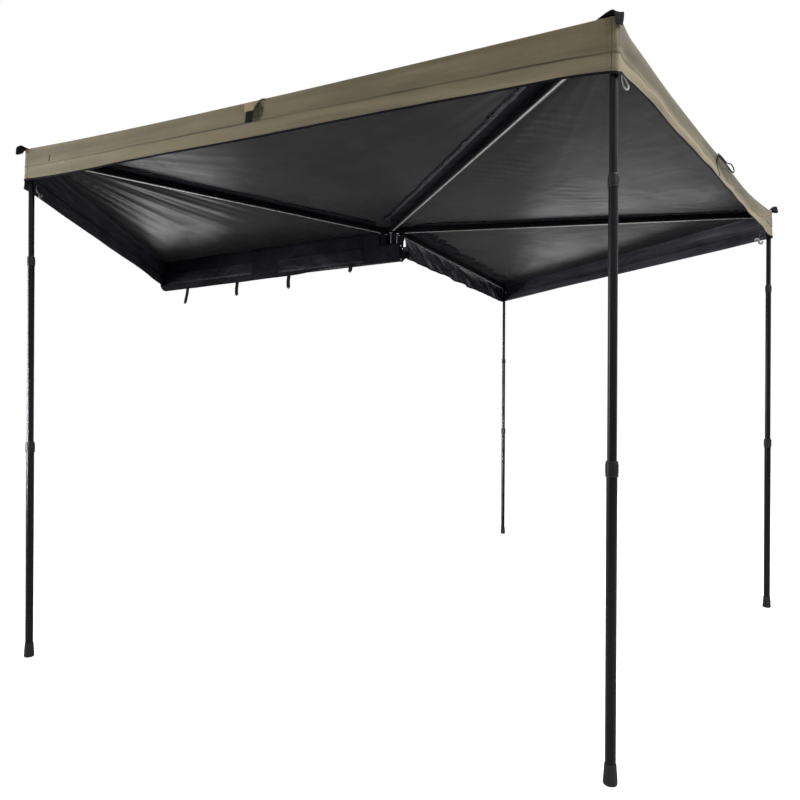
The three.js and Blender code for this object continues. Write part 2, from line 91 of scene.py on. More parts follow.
class AWNING_PG_cloth(bpy.types.PropertyGroup):
    canvas: colour("Canvas", "Colour of the ripstop outside", (0.157, 0.134, 0.082))
    lining: colour("Lining", "Colour of the coated underside", (0.018, 0.0175, 0.0178))
    black: colour("Black cloth", "Colour of the bag, skirt and bands", (0.006, 0.006, 0.0082))
    thickness: length("Thickness", "Thickness of the canopy's cloth", 0.0012)
    fold_radius: length("Fold radius", "Rounding where the valance folds down", 0.005)
    corner_round: length("Corner rounding", "Where the valance starts to round a corner", 0.014)
    binding: length("Binding", "Height of the black binding on the hem", 0.009)
    seam_share: number("Seam", "How far down the valance its seam runs", 0.57, subtype="FACTOR")
    panel_sag: length("Panel sag", "Sag of a panel between its arms", 0.046)
    edge_sag: length("Edge sag", "Sag of a panel's outer edge", 0.009)
    crease: length("Creases", "Height of the long creases in the panels", 0.0042)
    hem_wave: length("Hem wave", "How far the valance's hem waves out", 0.005)
    ripstop: length("Ripstop pitch", "Distance between the ripstop threads", 0.0055)
    stitch: length("Stitch pitch", "Distance between stitches", 0.0042)


class AWNING_PG_hardware(bpy.types.PropertyGroup):
    coat: colour("Black coat", "Colour of the coated aluminium", (0.0055, 0.0056, 0.0066))
    nylon: colour("Nylon", "Colour of the moulded collars", (0.007, 0.007, 0.008))
    rubber: colour("Rubber", "Colour of the feet", (0.009, 0.009, 0.009))
    zinc: colour("Zinc", "Colour of pins and bolts", (0.55, 0.56, 0.58))
    arm_width: length("Arm width", "Width of an arm's tube", 0.025)
    arm_round: length("Arm rounding", "Rounding of an arm's long edges", 0.0045)
    arm_groove: length("Arm groove", "Half the width of the groove below an arm", 0.0011)
    arm_lip: length("Arm lip", "Width of the bare lips beside the groove", 0.0025)
    soften: length("Edge bevel", "Bevel of machined edges", 0.0008)
    knuckle_pitch: length("Knuckle pitch", "Distance between neighbouring hub pins", 0.045)
    eye_radius: length("Eye radius", "Radius of a knuckle's eye", 0.015)


class AWNING_PG_stage(bpy.types.PropertyGroup):
    floor: colour("Floor", "Colour of the floor", (0.82, 0.82, 0.82))
    glow: number("Glow", "Glow of the seen floor", 0.90)
    ambient: number("Ambient", "Strength of the light from all round", 0.19)
    lens: number("Lens", "Focal length", 29.25)
    shift: number("Shift", "Vertical shift", 0.01525)
    turn: number("Turn", "Bearing of the camera", math.radians(28.02), subtype="ANGLE")
    roll: number("Roll", "Roll of the camera", math.radians(0.307), subtype="ANGLE")
    place: bpy.props.FloatVectorProperty(
        name="Place", description="Where the camera stands", default=(2.121, -3.6493, -0.990),
        subtype="XYZ", unit="LENGTH",
    )


# Layout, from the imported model


class Arm:
    """One arm: its pin, its directions in plan, and the matrix from its own frame to the row's."""

    def __init__(self, name):
        pin = Vector(JOINTS[f"arm_{name}_swing"]["pos_m"])
        pivot = Vector(JOINTS[f"pole_{name}_fold"]["pos_m"])
        self.name = name
        self.body = f"arm_{name}_body"
        self.swing = f"arm_{name}_swing"
        self.pin = Vector((pin.x, pin.y, 0))
        self.along = Vector((pivot.x - pin.x, pivot.y - pin.y, 0))
        self.reach = self.along.length
        self.along.normalize()
        self.aside = Vector((-self.along.y, self.along.x, 0))
        self.pivot_height = pivot.z - GROUND
        angle = math.atan2(self.along.y, self.along.x)
        self.frame = Matrix.Translation((pin.x, pin.y, GROUND)) @ Matrix.Rotation(angle, 4, "Z")
        self.pole = self.frame @ Matrix.Translation((self.reach, 0, 0))


def heights(node):
    """A node's lowest and highest point above the ground."""
    low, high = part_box(node)
    return low.z - GROUND, high.z - GROUND


ARMS = [Arm(name) for name in "bcde"]
RAIL_BODY = "rail"
PANEL_BODIES = [RAIL_BODY] + [arm.body for arm in ARMS]
HUB = sum((arm.pin for arm in ARMS), Vector()) / len(ARMS)
ARM_BOTTOM, ARM_TOP = heights("arm_b")
HEM = heights("canopy_panel_3")[0]
SIDE_HEM = heights("canopy_panel_1")[0]
CLEAR = 0.0003
CANVAS_TOP = ARM_TOP + CLEAR
# how far each corner of the canopy reaches past its arm's pivot
CORNER_MARGINS = {"b": 0.028, "c": 0.022, "d": 0.013}
# the valance keeps this far from a pole's axis
POLE_ROOM = 0.0154
# a seam joins its arm this far from the pin, and lies flat this far beside it
KNEE = 0.062
SEAT = 0.0245
SKIRT_ASIDE = 0.028
BESIDE = 0.0205
# how far beside its seam each half of a panel would gather when its arm folds in
GATHER = ((0.0062, 0.0158), (BESIDE, BESIDE), (BESIDE, BESIDE), (BESIDE, SKIRT_ASIDE + BESIDE))


def flat(x, y):
    return Vector((x, y, 0))


def standing(x, y, height):
    """A point at a height above the ground."""
    return Vector((x, y, GROUND + height))


def corners():
    """Plan corners of the canopy: the rail's end, the three arm tips, and the skirt's end."""
    ends = [flat(box[0].x, box[1].y) for box in map(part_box, ("canopy_panel_1", "canopy_panel_4"))]
    tips = [arm.pin + arm.along * (arm.reach + CORNER_MARGINS[arm.name]) for arm in ARMS[:3]]
    return [ends[0], *tips, ends[1]]


def knees():
    """Where each seam leaves the hub and starts to follow its arm."""
    found = [flat(ARMS[0].pin.x - KNEE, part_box("canopy_panel_1")[1].y)]
    found += [arm.pin + arm.along * KNEE for arm in ARMS]
    found[-1] = found[-1] + ARMS[-1].aside * SKIRT_ASIDE
    return found


CORNERS = corners()
KNEES = knees()


def clamp(value, low=0.0, high=1.0):
    return max(low, min(high, value))


def ease(value):
    value = clamp(value)
    return value * value * (3 - 2 * value)


def mix(a, b, amount):
    return a + (b - a) * amount


def bow(amount):
    """0 at both ends, and 1 half way."""
    return 4 * amount * (1 - amount)


def hump(value, middle, width):
    """A bell of height 1."""
    return math.exp(-(((value - middle) / width) ** 2))


def sway(x, y=0.0, z=0.0):
    """Smooth noise between -1 and 1 that is the same in every run."""
    return noise.noise(Vector((x, y, z)))


def spaced(start, end, step):
    count = max(1, round(abs(end - start) / step))
    return [mix(start, end, index / count) for index in range(count + 1)]


def through(points, amount):
    """A point on the smooth curve through some points, for an amount from 0 to 1."""
    spot = clamp(amount) * (len(points) - 1)
    first = min(int(spot), len(points) - 2)
    part = spot - first
    before, start = Vector(points[max(0, first - 1)]), Vector(points[first])
    end, after = Vector(points[first + 1]), Vector(points[min(len(points) - 1, first + 2)])
    return (start * 2 + (end - before) * part
            + (before * 2 - start * 5 + end * 4 - after) * part ** 2
            + (start * 3 - before - end * 3 + after) * part ** 3) / 2


def run_of(points):
    """Length of a line through points."""
    return sum((second - first).length for first, second in zip(points, points[1:]))


# Mesh helpers


def move(bm, verts, matrix):
    bmesh.ops.transform(bm, matrix=matrix, verts=verts)


def block(bm, x, y, z):
    """A box between two values on each axis."""
    made = bmesh.ops.create_cube(bm, size=1)["verts"]
    size = Matrix.Diagonal((x[1] - x[0], y[1] - y[0], z[1] - z[0], 1))
    middle = Matrix.Translation(((x[0] + x[1]) / 2, (y[0] + y[1]) / 2, (z[0] + z[1]) / 2))
    move(bm, made, middle @ size)
    return made


def rod(bm, radius, z, matrix=Matrix(), sides=48):
    """A cylinder along its own Z between two heights."""
    made = bmesh.ops.create_cone(
        bm, cap_ends=True, segments=sides, radius1=radius, radius2=radius, depth=z[1] - z[0]
    )["verts"]
    move(bm, made, matrix @ Matrix.Translation((0, 0, (z[0] + z[1]) / 2)))


def turned(bm, profile, sides):
    """A solid or ring spun round Z from a profile of radius and height."""
    verts = [bm.verts.new((radius, 0, height)) for radius, height in profile]
    edges = [bm.edges.new(pair) for pair in zip(verts, verts[1:])]
    if profile[0][0] > 0 and profile[-1][0] > 0:
        edges.append(bm.edges.new((verts[-1], verts[0])))
    bmesh.ops.spin(
        bm, geom=verts + edges, cent=(0, 0, 0), axis=(0, 0, 1), angle=math.tau,
        steps=sides, use_merge=True,
    )
    bmesh.ops.remove_doubles(bm, verts=bm.verts, dist=1e-7)


def prism(bm, points, start, end):
    """An outline in Y and Z, run along X."""
    verts = [bm.verts.new((start, y, z)) for y, z in points]
    face = bm.faces.new(verts)
    run = bmesh.ops.extrude_face_region(bm, geom=[face])["geom"]
    far = [item for item in run if isinstance(item, bmesh.types.BMVert)]
    bmesh.ops.translate(bm, verts=far, vec=(end - start, 0, 0))


def round_edges(bm, edges, offset, segments, clamped=False):
    bmesh.ops.bevel(
        bm, geom=edges, offset=offset, offset_type="OFFSET", segments=segments,
        profile=0.5, affect="EDGES", material=-1, clamp_overlap=clamped,
    )


def sharp_edges(bm, degrees):
    return [edge for edge in bm.edges if len(edge.link_faces) == 2
            and edge.calc_face_angle() > math.radians(degrees)]


def soften(bm, offset):
    round_edges(bm, sharp_edges(bm, 30), offset, 2, True)


def finish_piece(name, bm, body, material, nodes=(), place=Matrix()):
    """Turns a bmesh into a piece of the object, in the row's frame."""
    move(bm, bm.verts, place)
    bmesh.ops.recalc_face_normals(bm, faces=bm.faces)
    for face in bm.faces:
        face.smooth = True
    for edge in sharp_edges(bm, 32):
        edge.smooth = False
    materials = [material] if isinstance(material, str) else material
    return add_piece(name, bm, body, materials, nodes)


def add_piece(name, bm, body, materials, nodes):
    mesh = bpy.data.meshes.new(name)
    bm.to_mesh(mesh)
    bm.free()
    piece = bpy.data.objects.new(name, mesh)
    bpy.context.scene.collection.objects.link(piece)
    for material in materials:
        mesh.materials.append(get_finish(material))
    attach(piece, body)
    if nodes:
        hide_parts(*nodes)
    return piece


def cloth_normals(points, us, vs, place, facing):
    """Normals taken from the shape, so two sheets that meet at one line are shaded as one."""
    step = (us[-1] - us[0]) * MM
    normals = []
    for row, (v, line) in enumerate(zip(vs, points)):
        above, below = points[max(0, row - 1)], points[min(len(vs) - 1, row + 1)]
        found = []
        for column, u in enumerate(us):
            if 0 < column < len(us) - 1:
                across = line[column + 1] - line[column - 1]
            else:
                across = place(u + step, v) - place(u - step, v)
            normal = across.cross(below[column] - above[column])
            found.append(normal.normalized() if normal.length > 1e-12 else UP.copy())
        normals.append(found)
    if sum((normal for line in normals for normal in line), Vector()).dot(facing) < 0:
        return [[-normal for normal in line] for line in normals]
    return normals


def cloth_piece(name, us, vs, place, chart, body, materials, facing, thickness, paint=None,
                inner=None, nodes=()):
    """A grid of cloth with two faces: place gives its front, chart its place on the flat cut."""
    points = [[place(u, v) for u in us] for v in vs]
    normals = cloth_normals(points, us, vs, place, facing)
    bm = bmesh.new()
    bmesh.ops.create_grid(bm, x_segments=len(us) - 1, y_segments=len(vs) - 1, size=1)
    charts = bm.loops.layers.uv.new("UVMap")
    places, turns = {}, {}
    for vert in bm.verts:
        column = round((vert.co.x + 1) / 2 * (len(us) - 1))
        row = round((vert.co.y + 1) / 2 * (len(vs) - 1))
        places[vert] = (us[column], vs[row])
        turns[vert] = normals[row][column]
        vert.co = points[row][column]

    def centre(face):
        return [sum(places[v][axis] for v in face.verts) / len(face.verts) for axis in (0, 1)]

    bm.normal_update()
    middle = bm.faces[:][len(bm.faces) // 2]
    if middle.normal.dot(turns[middle.verts[0]]) < 0:
        bmesh.ops.reverse_faces(bm, faces=bm.faces)
    for face in bm.faces:
        face.material_index = paint(*centre(face)) if paint else 0
    rims = [edge.link_loops[0] for edge in bm.edges if edge.is_boundary]
    rims = [(loop.link_loop_next.vert, loop.vert, loop.face.material_index) for loop in rims]
    made = bmesh.ops.duplicate(bm, geom=bm.verts[:] + bm.edges[:] + bm.faces[:])
    twins = {vert: made["vert_map"][vert] for vert in places}
    for vert, twin in twins.items():
        twin.co = vert.co - turns[vert] * thickness
        places[twin], turns[twin] = places[vert], -turns[vert]
    back = [item for item in made["geom"] if isinstance(item, bmesh.types.BMFace)]
    bmesh.ops.reverse_faces(bm, faces=back)
    for face in back:
        face.material_index = inner(*centre(face)) if inner else face.material_index
    edge_faces = set()
    for first, second, paint_index in rims:
        face = bm.faces.new((first, second, twins[second], twins[first]))
        face.material_index = paint_index
        edge_faces.add(face)
    bm.normal_update()
    bm.verts.index_update()
    bm.faces.index_update()
    shading = []
    for face in bm.faces:
        face.smooth = True
        for loop in face.loops:
            loop[charts].uv = chart(*places[loop.vert])
            shading.append(face.normal.copy() if face in edge_faces else turns[loop.vert])
    piece = add_piece(name, bm, body, materials, nodes)
    piece.data.normals_split_custom_set(shading)
    return piece


def tube_between(points, radius, sides=12):
    """A closed round tube that follows some points."""
    bm = bmesh.new()
    rings = []
    side = Vector((0.31, 0.17, 0.93))
    for index, point in enumerate(points):
        heading = points[min(index + 1, len(points) - 1)] - points[max(index - 1, 0)]
        heading.normalize()
        side = (side - heading * side.dot(heading)).normalized()
        up = heading.cross(side)
        turns = (turn * math.tau / sides for turn in range(sides))
        rings.append([
            bm.verts.new(point + (side * math.cos(turn) + up * math.sin(turn)) * radius)
            for turn in turns
        ])
    for first, second in zip(rings, rings[1:]):
        for turn in range(sides):
            after = (turn + 1) % sides
            bm.faces.new((first[turn], first[after], second[after], second[turn]))
    for ring in (rings[0], rings[-1]):
        bm.faces.new(ring)
    return bm


def mesh_area(piece):
    """Area of one side of a sheet."""
    return sum(polygon.area for polygon in piece.data.polygons) / 2


# Shaders


class Wire:
    """A socket that can be used in sums."""

    def __init__(self, finish, socket):
        self.finish = finish
        self.socket = socket

    def maths(self, operation, *values):
        return self.finish.node("ShaderNodeMath", {"operation": operation}, dict(enumerate(values)))

    def __add__(self, other):
        return self.maths("ADD", self, other)

    def __sub__(self, other):
        return self.maths("SUBTRACT", self, other)

    def __rsub__(self, other):
        return self.maths("SUBTRACT", other, self)

    def __mul__(self, other):
        return self.maths("MULTIPLY", self, other)

    def __truediv__(self, other):
        return self.maths("DIVIDE", self, other)

    def __abs__(self):
        return self.maths("ABSOLUTE", self)

    __radd__ = __add__
    __rmul__ = __mul__

    def sine(self):
        return self.maths("SINE", self)

    def below(self, value):
        return self.maths("LESS_THAN", self, value)

    def largest(self, other):
        return self.maths("MAXIMUM", self, other)

    def dashes(self, pitch, share):
        """1 on the first share of every pitch."""
        return self.maths("FRACT", self / pitch).below(share)

    def line(self, level, half):
        """1 within half a line's width of a level."""
        return abs(self - level).below(half)

    def ramped(self, low, high, start=0.0, end=1.0):
        """Eases from start to end as the value goes from low to high."""
        return self.finish.node(
            "ShaderNodeMapRange", {"interpolation_type": "SMOOTHSTEP"},
            {"Value": self, "From Min": low, "From Max": high, "To Min": start, "To Max": end},
        )


class Finish:
    """The nodes of a material or of the world, under construction."""

    def __init__(self, name, tint=None, holder=None):
        self.material = holder or bpy.data.materials.new(name)
        self.material.use_nodes = True
        self.tree = self.material.node_tree
        self.tree.nodes.clear()
        self.tint = tint
        self.tone = self.normal = None

    def node(self, kind, settings=None, sockets=None, output=0):
        made = self.tree.nodes.new(kind)
        for key, value in (settings or {}).items():
            setattr(made, key, value)
        for key, value in (sockets or {}).items():
            socket = made.inputs[key]
            if isinstance(value, Wire):
                self.tree.links.new(value.socket, socket)
            elif value is not None:
                if socket.type == "RGBA" and len(value) == 3:
                    value = (*value, 1)
                socket.default_value = value
        return Wire(self, made.outputs[output]) if made.outputs else None

    def place(self):
        return self.node("ShaderNodeTexCoord", output="Object")

    def chart(self):
        """The flat cut's place, and the two ways across it."""
        chart = self.node("ShaderNodeUVMap", {"uv_map": "UVMap"})
        made = self.node("ShaderNodeSeparateXYZ", {}, {0: chart}).socket.node
        return chart, Wire(self, made.outputs[0]), Wire(self, made.outputs[1])

    def stretched(self, vector, scale):
        return self.node("ShaderNodeMapping", {}, {"Vector": vector, "Scale": scale})

    def noise(self, vector, scale, detail=3, roughness=0.5, distortion=0.0):
        if isinstance(scale, tuple):
            vector, scale = self.stretched(vector, scale), 1
        return self.node(
            "ShaderNodeTexNoise", {},
            {"Vector": vector, "Scale": scale, "Detail": detail, "Roughness": roughness,
             "Distortion": distortion},
        )

    def blend(self, amount, first, second):
        return self.node(
            "ShaderNodeMix", {"data_type": "RGBA"}, {"Factor": amount, 6: first, 7: second},
            output=2,
        )

    def vary(self, amount, low, high):
        """Starts the colour, between two shades of the tint."""
        self.tone = self.blend(amount, shade(self.tint, low), shade(self.tint, high))

    def dye(self, amount, level):
        """Takes the colour some way to a shade of the tint."""
        self.tone = self.blend(amount, self.tone, shade(self.tint, level))

    def emboss(self, height, distance, strength):
        self.normal = self.node(
            "ShaderNodeBump", {},
            {"Height": height, "Distance": distance, "Strength": strength, "Normal": self.normal},
        )

    def seen(self):
        """1 for rays that show the background: straight, in gloss or through glass."""
        outputs = self.node("ShaderNodeLightPath").socket.node.outputs
        camera, glossy, glass = (
            Wire(self, outputs[f"Is {kind} Ray"]) for kind in ("Camera", "Glossy", "Transmission")
        )
        return camera.largest(glossy).largest(glass)

    def skin(self, **sockets):
        named = {key.replace("_", " "): value for key, value in sockets.items()}
        named.update({"Base Color": self.tone, "Normal": self.normal})
        self.surface(self.node("ShaderNodeBsdfPrincipled", {}, named))
        return self.material

    def surface(self, shader, kind="ShaderNodeOutputMaterial"):
        self.node(kind, {}, {"Surface": shader})


def shade(tint, amount):
    """A colour made lighter or darker."""
    return tuple(clamp(channel * amount) for channel in tint)


def weave_of(along, up, pitch):
    """A plain weave's height."""
    thread = math.tau / pitch
    return (along * thread).sine() * (up * thread).sine()


def canvas_finish(name, tint, cloth, drop, above=1.0):
    """Khaki ripstop: a fine grid of heavier threads, a stitched seam and a soft mottle, with
    painted light and shade on the valance by its seam and along its folds.
    """
    finish = Finish(name, tint)
    chart, along, up = finish.chart()
    place = finish.place()
    stitch = 0.0007
    weave = weave_of(along, up, cloth.ripstop / 8)
    grid = along.dashes(cloth.ripstop, 0.14).largest(up.dashes(cloth.ripstop, 0.14))
    mottle = finish.noise(place, 3.2, 5, 0.6)
    slubs = finish.noise(chart, (60, 900, 1), 2)
    warm = (tint[0] * 0.92, tint[1] * 0.86, tint[2] * 0.78)
    finish.tone = finish.blend(mottle.ramped(0.3, 0.72), warm, shade(tint, 1.08))
    finish.dye(slubs.ramped(0.35, 0.75) * 0.2, 0.62)
    finish.dye(grid * 0.14, 1.5)
    seam = -drop * cloth.seam_share
    rows = up.line(0.011, stitch)
    for level in (0.0042, seam + 0.0035, seam - 0.0075):
        rows = rows.largest(up.line(level, stitch))
    stitches = rows * along.dashes(cloth.stitch, 0.62)
    finish.dye(stitches * 0.75, 0.42)
    # painted light: the band below the seam is lighter than the one above
    finish.dye(up.ramped(seam - 0.004, seam + 0.004, 1.0, 0.0) * 0.5, 1.3)
    # painted shade: where above is below 1, the band above the seam is darkened towards that factor
    # in soft streaks
    if above < 1:
        shaded = finish.noise(chart, (1.1, 8, 1), 2).ramped(0.35, 0.6, 0.5, 1.0)
        finish.dye(up.ramped(seam, seam + 0.02) * shaded, above)
    # painted shade: a dark line in the seam's groove, fainter in places along it
    wander = finish.noise(chart, (1.6, 0, 1), 2)
    seam_groove_shade = abs(up - seam).ramped(0.0008, 0.0034, 1.0, 0.0)
    finish.dye(seam_groove_shade * wander.ramped(0.38, 0.62, 0.35, 0.95), 0.16)
    for corner in CORNERS[1:4]:
        gap = finish.node("ShaderNodeVectorMath", {"operation": "DISTANCE"},
                          {0: finish.stretched(place, (1, 1, 0)), 1: tuple(corner)}, output=1)
        felled = abs(gap - 0.020).ramped(0.0006, 0.0026, 1.0, 0.0)
        sewn = gap.line(0.026, 0.0009).largest(gap.line(0.034, 0.0009))
        sewn *= up.dashes(cloth.stitch, 0.6)
        finish.dye(felled.largest(sewn * 0.8) * up.below(0.0) * 0.8, 0.25)
    # darker in soft blotches stretched along the cloth
    long_blotches = finish.noise(chart, (2.2, 9, 1), 4, 0.6)
    finish.dye(long_blotches.ramped(0.52, 0.78) * 0.35, 0.66)
    # painted shade: darker streaks along the valance's long folds
    streak = finish.noise(chart, (0.9, 19, 1), 2, 0.45, 0.4)
    finish.dye(streak.ramped(0.46, 0.66) * 0.5, 0.5)
    finish.emboss(weave * 0.5 + grid * 1.0, 0.00012, 0.6)
    finish.emboss(finish.noise(chart, (70, 22, 1), 2), 0.0018, 0.4)
    finish.emboss(finish.noise(chart, (5, 17, 1), 3, 0.5, 0.5), 0.012, 0.5)
    finish.emboss(stitches, 0.0005, 0.8)
    return finish.skin(
        Roughness=mottle.ramped(0.3, 0.7, 0.72, 0.86),
        Specular_IOR_Level=0.3, Sheen_Weight=0.1, Sheen_Roughness=0.5,
    )


def lining_finish(name, tint, cloth):
    """Coated underside: near black, half gloss, with small creases."""
    finish = Finish(name, tint)
    chart, along, up = finish.chart()
    place = finish.place()
    crease = finish.noise(place, 5.0, 2, 0.45, 0.6)
    finish.vary(finish.noise(place, 1.7, 4, 0.55).ramped(0.35, 0.7), 0.8, 1.3)
    finish.emboss(crease, 0.010, 0.3)
    finish.emboss(finish.noise(chart, (30, 13, 1), 2, 0.5, 0.4), 0.0006, 0.2)
    finish.emboss(weave_of(along, up, cloth.ripstop / 6), 0.00003, 0.3)
    return finish.skin(Roughness=crease.ramped(0.3, 0.72, 0.28, 0.36), Specular_IOR_Level=0.07)


def black_cloth_finish(name, tint, gloss=0.42, fold=(11, 4), depth=0.010, shine=0.03, edge=0.0):
    """Black coated cloth, with a weave and creases; it thins out towards an edge, if it has one,
    and in the bands that faded part is painted shade on the lining.
    """
    finish = Finish(name, tint)
    chart, along, up = finish.chart()
    weave = weave_of(along, up, 0.0011)
    crush = finish.noise(chart, (*fold, 1), 4, 0.5, 0.7)
    finish.vary(finish.noise(chart, 4, 4, 0.6).ramped(0.3, 0.72), 0.7, 1.7)
    finish.dye(weave.ramped(0.2, 1.0) * 0.25, 2.4)
    finish.emboss(crush, depth, 0.5)
    finish.emboss(weave, 0.0001, 0.5)
    # the fade towards an edge is painted shade where a band meets the lining
    return finish.skin(
        Roughness=crush.ramped(0.3, 0.7, gloss - 0.08, gloss + 0.12), Specular_IOR_Level=shine,
        Alpha=(up + (crush - 0.5) * 0.02).ramped(edge * 0.6, edge, 1.0, 0.0) if edge else 1.0,
    )


def webbing_finish(name, tint):
    """Woven webbing: ribs across, and a herringbone along."""
    finish = Finish(name, tint)
    _, along, up = finish.chart()
    ribs = (along * (math.tau / 0.0016)).sine()
    twill = ((along + up) * (math.tau / 0.0034)).sine()
    finish.vary(twill.ramped(-0.4, 0.8), 0.7, 1.4)
    finish.dye(finish.noise(finish.place(), 400).ramped(0.45, 0.8) * 0.25, 2.4)
    finish.emboss(ribs + twill * 0.6, 0.0003, 0.7)
    return finish.skin(Roughness=0.9, Specular_IOR_Level=0.12)


def painted_shadow_finish(name, tint):
    """Painted shadow in the hollow under a loop: darker khaki which thins out to its edges."""
    finish = Finish(name, tint)
    _, along, up = finish.chart()
    across, down = abs(along - 0.010) / 0.020, abs(up - 0.020) / 0.021
    rim = (across * across + down * down).ramped(0.0, 1.0, 0.72, 0.0)
    finish.vary(finish.noise(finish.place(), 60, 4, 0.6).ramped(0.3, 0.7), 0.18, 0.34)
    return finish.skin(Roughness=0.85, Alpha=rim, Specular_IOR_Level=0.2)


def coat_finish(name, tint, gloss=0.3, metallic=0.5, shine=0.2):
    """Powder-coated or anodised black metal, with a fine orange peel and light scuffs."""
    finish = Finish(name, tint)
    place = finish.place()
    smear = finish.noise(place, (4, 4, 1.1), 5, 0.62)
    scuff = finish.noise(place, (260, 260, 22), 4, 0.6)
    worn = scuff.ramped(0.64, 0.76) * smear.ramped(0.5, 0.7)
    finish.vary(smear.ramped(0.32, 0.7), 0.8, 1.35)
    finish.dye(worn * 0.3, 6.0)
    finish.emboss(finish.noise(place, 900, 2), 0.00012, 0.4)
    return finish.skin(
        Metallic=metallic, Specular_IOR_Level=shine,
        Roughness=smear.ramped(0.3, 0.7, gloss - 0.05, gloss + 0.08) + worn * 0.12,
    )


def arm_lip_highlight_finish(name):
    """Light metal of the arm's lower lips, drawn lengthwise; its light colour is a painted
    highlight, for the bright reflection along an arm's lower edges.
    """
    finish = Finish(name)
    place = finish.place()
    haze = finish.noise(place, 7, 4, 0.6)
    finish.tone = finish.blend(haze.ramped(0.3, 0.7), (0.74, 0.73, 0.69), (0.88, 0.87, 0.83))
    finish.emboss(finish.noise(place, (40, 40, 900)), 0.00008, 0.5)
    return finish.skin(Metallic=0.5, Roughness=haze.ramped(0.3, 0.7, 0.34, 0.46))


def zinc_finish(name, tint):
    """Zinc plate, brushed lengthwise, with a faint spangle."""
    finish = Finish(name, tint)
    place = finish.place()
    spangle = finish.noise(place, 160, 3, 0.6)
    finish.vary(spangle.ramped(0.3, 0.7), 0.72, 1.12)
    finish.emboss(finish.noise(place, (900, 900, 60), 2), 0.00006, 0.5)
    return finish.skin(Metallic=1.0, Roughness=spangle.ramped(0.3, 0.7, 0.26, 0.42))


def moulded_finish(name, tint, rough=0.5, grain=0.0002):
    """Moulded nylon or rubber, with a spark-eroded grain."""
    finish = Finish(name, tint)
    place = finish.place()
    dust = finish.noise(place, 22, 5, 0.65)
    finish.vary(dust.ramped(0.4, 0.75), 0.9, 1.8)
    finish.emboss(finish.noise(place, 1400, 2), grain, 0.5)
    return finish.skin(
        Roughness=dust.ramped(0.3, 0.7, rough, rough + 0.14), Specular_IOR_Level=0.22,
    )


def finish_recipes():
    """For each finish, the function that makes it and what it is given."""
    cloth, hardware = bpy.context.scene.awning_cloth, bpy.context.scene.awning_hardware
    khaki, black, coat = cloth.canvas, cloth.black, hardware.coat
    front, side = CANVAS_TOP - HEM, CANVAS_TOP - SIDE_HEM
    return {
        "canvas": (canvas_finish, "khaki_canvas", khaki, cloth, front),
        "side_canvas": (canvas_finish, "khaki_canvas_side", khaki, cloth, side),
        # the right side's canvas has painted shade on the band above its seam
        "right_canvas": (canvas_finish, "khaki_canvas_right", khaki, cloth, front, 0.5),
        "lining": (lining_finish, "coated_lining", cloth.lining, cloth),
        "black_cloth": (black_cloth_finish, "black_cloth", shade(black, 0.8)),
        "patch_cloth": (black_cloth_finish, "patch_cloth", black, 0.40, (5, 9), 0.016, 0.045),
        "gathered": (black_cloth_finish, "gathered_cloth", shade(black, 2.0), 0.3, (90, 60),
                     0.003, 0.6, 0.10),
        # the bands beside the arms: black cloth near the arm, fading outwards as painted shade on
        # the lining
        "band": (black_cloth_finish, "band_cloth", black, 0.42, (11, 4), 0.010, 0.05, 0.10),
        "skirt_cloth": (black_cloth_finish, "skirt_cloth", shade(black, 2.0), 0.36, (5, 17),
                        0.020, 0.7),
        "inner_cloth": (black_cloth_finish, "inner_cloth", shade(black, 2.4), 0.40, (2.5, 16),
                        0.012, 0.35),
        "binding": (black_cloth_finish, "black_binding", black, 0.6, (40, 60), 0.001),
        "webbing": (webbing_finish, "black_webbing", (0.0055, 0.0055, 0.006)),
        "khaki_webbing": (webbing_finish, "khaki_webbing", shade(khaki, 1.9)),
        # painted shadow: a darker khaki patch in the hollow under the front loop
        "hollow": (painted_shadow_finish, "khaki_hollow", khaki),
        "coat": (coat_finish, "black_coat", coat),
        "cast": (coat_finish, "cast_coat", shade(coat, 0.6), 0.7, 0.0, 0.03),
        "steel": (coat_finish, "steel_coat", shade(coat, 0.6), 0.7, 0.0, 0.03),
        # painted highlight: the light lips stand in for the reflection along an arm's lower edges
        "bare": (arm_lip_highlight_finish, "bare_aluminium"),
        "zinc": (zinc_finish, "zinc_plate", hardware.zinc),
        "nylon": (moulded_finish, "black_nylon", hardware.nylon, 0.42),
        "rubber": (moulded_finish, "black_rubber", hardware.rubber, 0.66, 0.0003),
        "elastic": (moulded_finish, "grey_elastic", (0.30, 0.30, 0.28), 0.6, 0.0004),
        "cord": (moulded_finish, "dark_cord", (0.03, 0.03, 0.032), 0.6, 0.0004),
        "hook": (moulded_finish, "grey_hook", (0.19, 0.19, 0.185), 0.45),
    }


FINISHES = {}


def get_finish(name):
    """The named finish, made the first time that it is asked for."""
    if name not in FINISHES:
        maker, *given = finish_recipes()[name]
        FINISHES[name] = maker(*given)
    return FINISHES[name]


# Stage


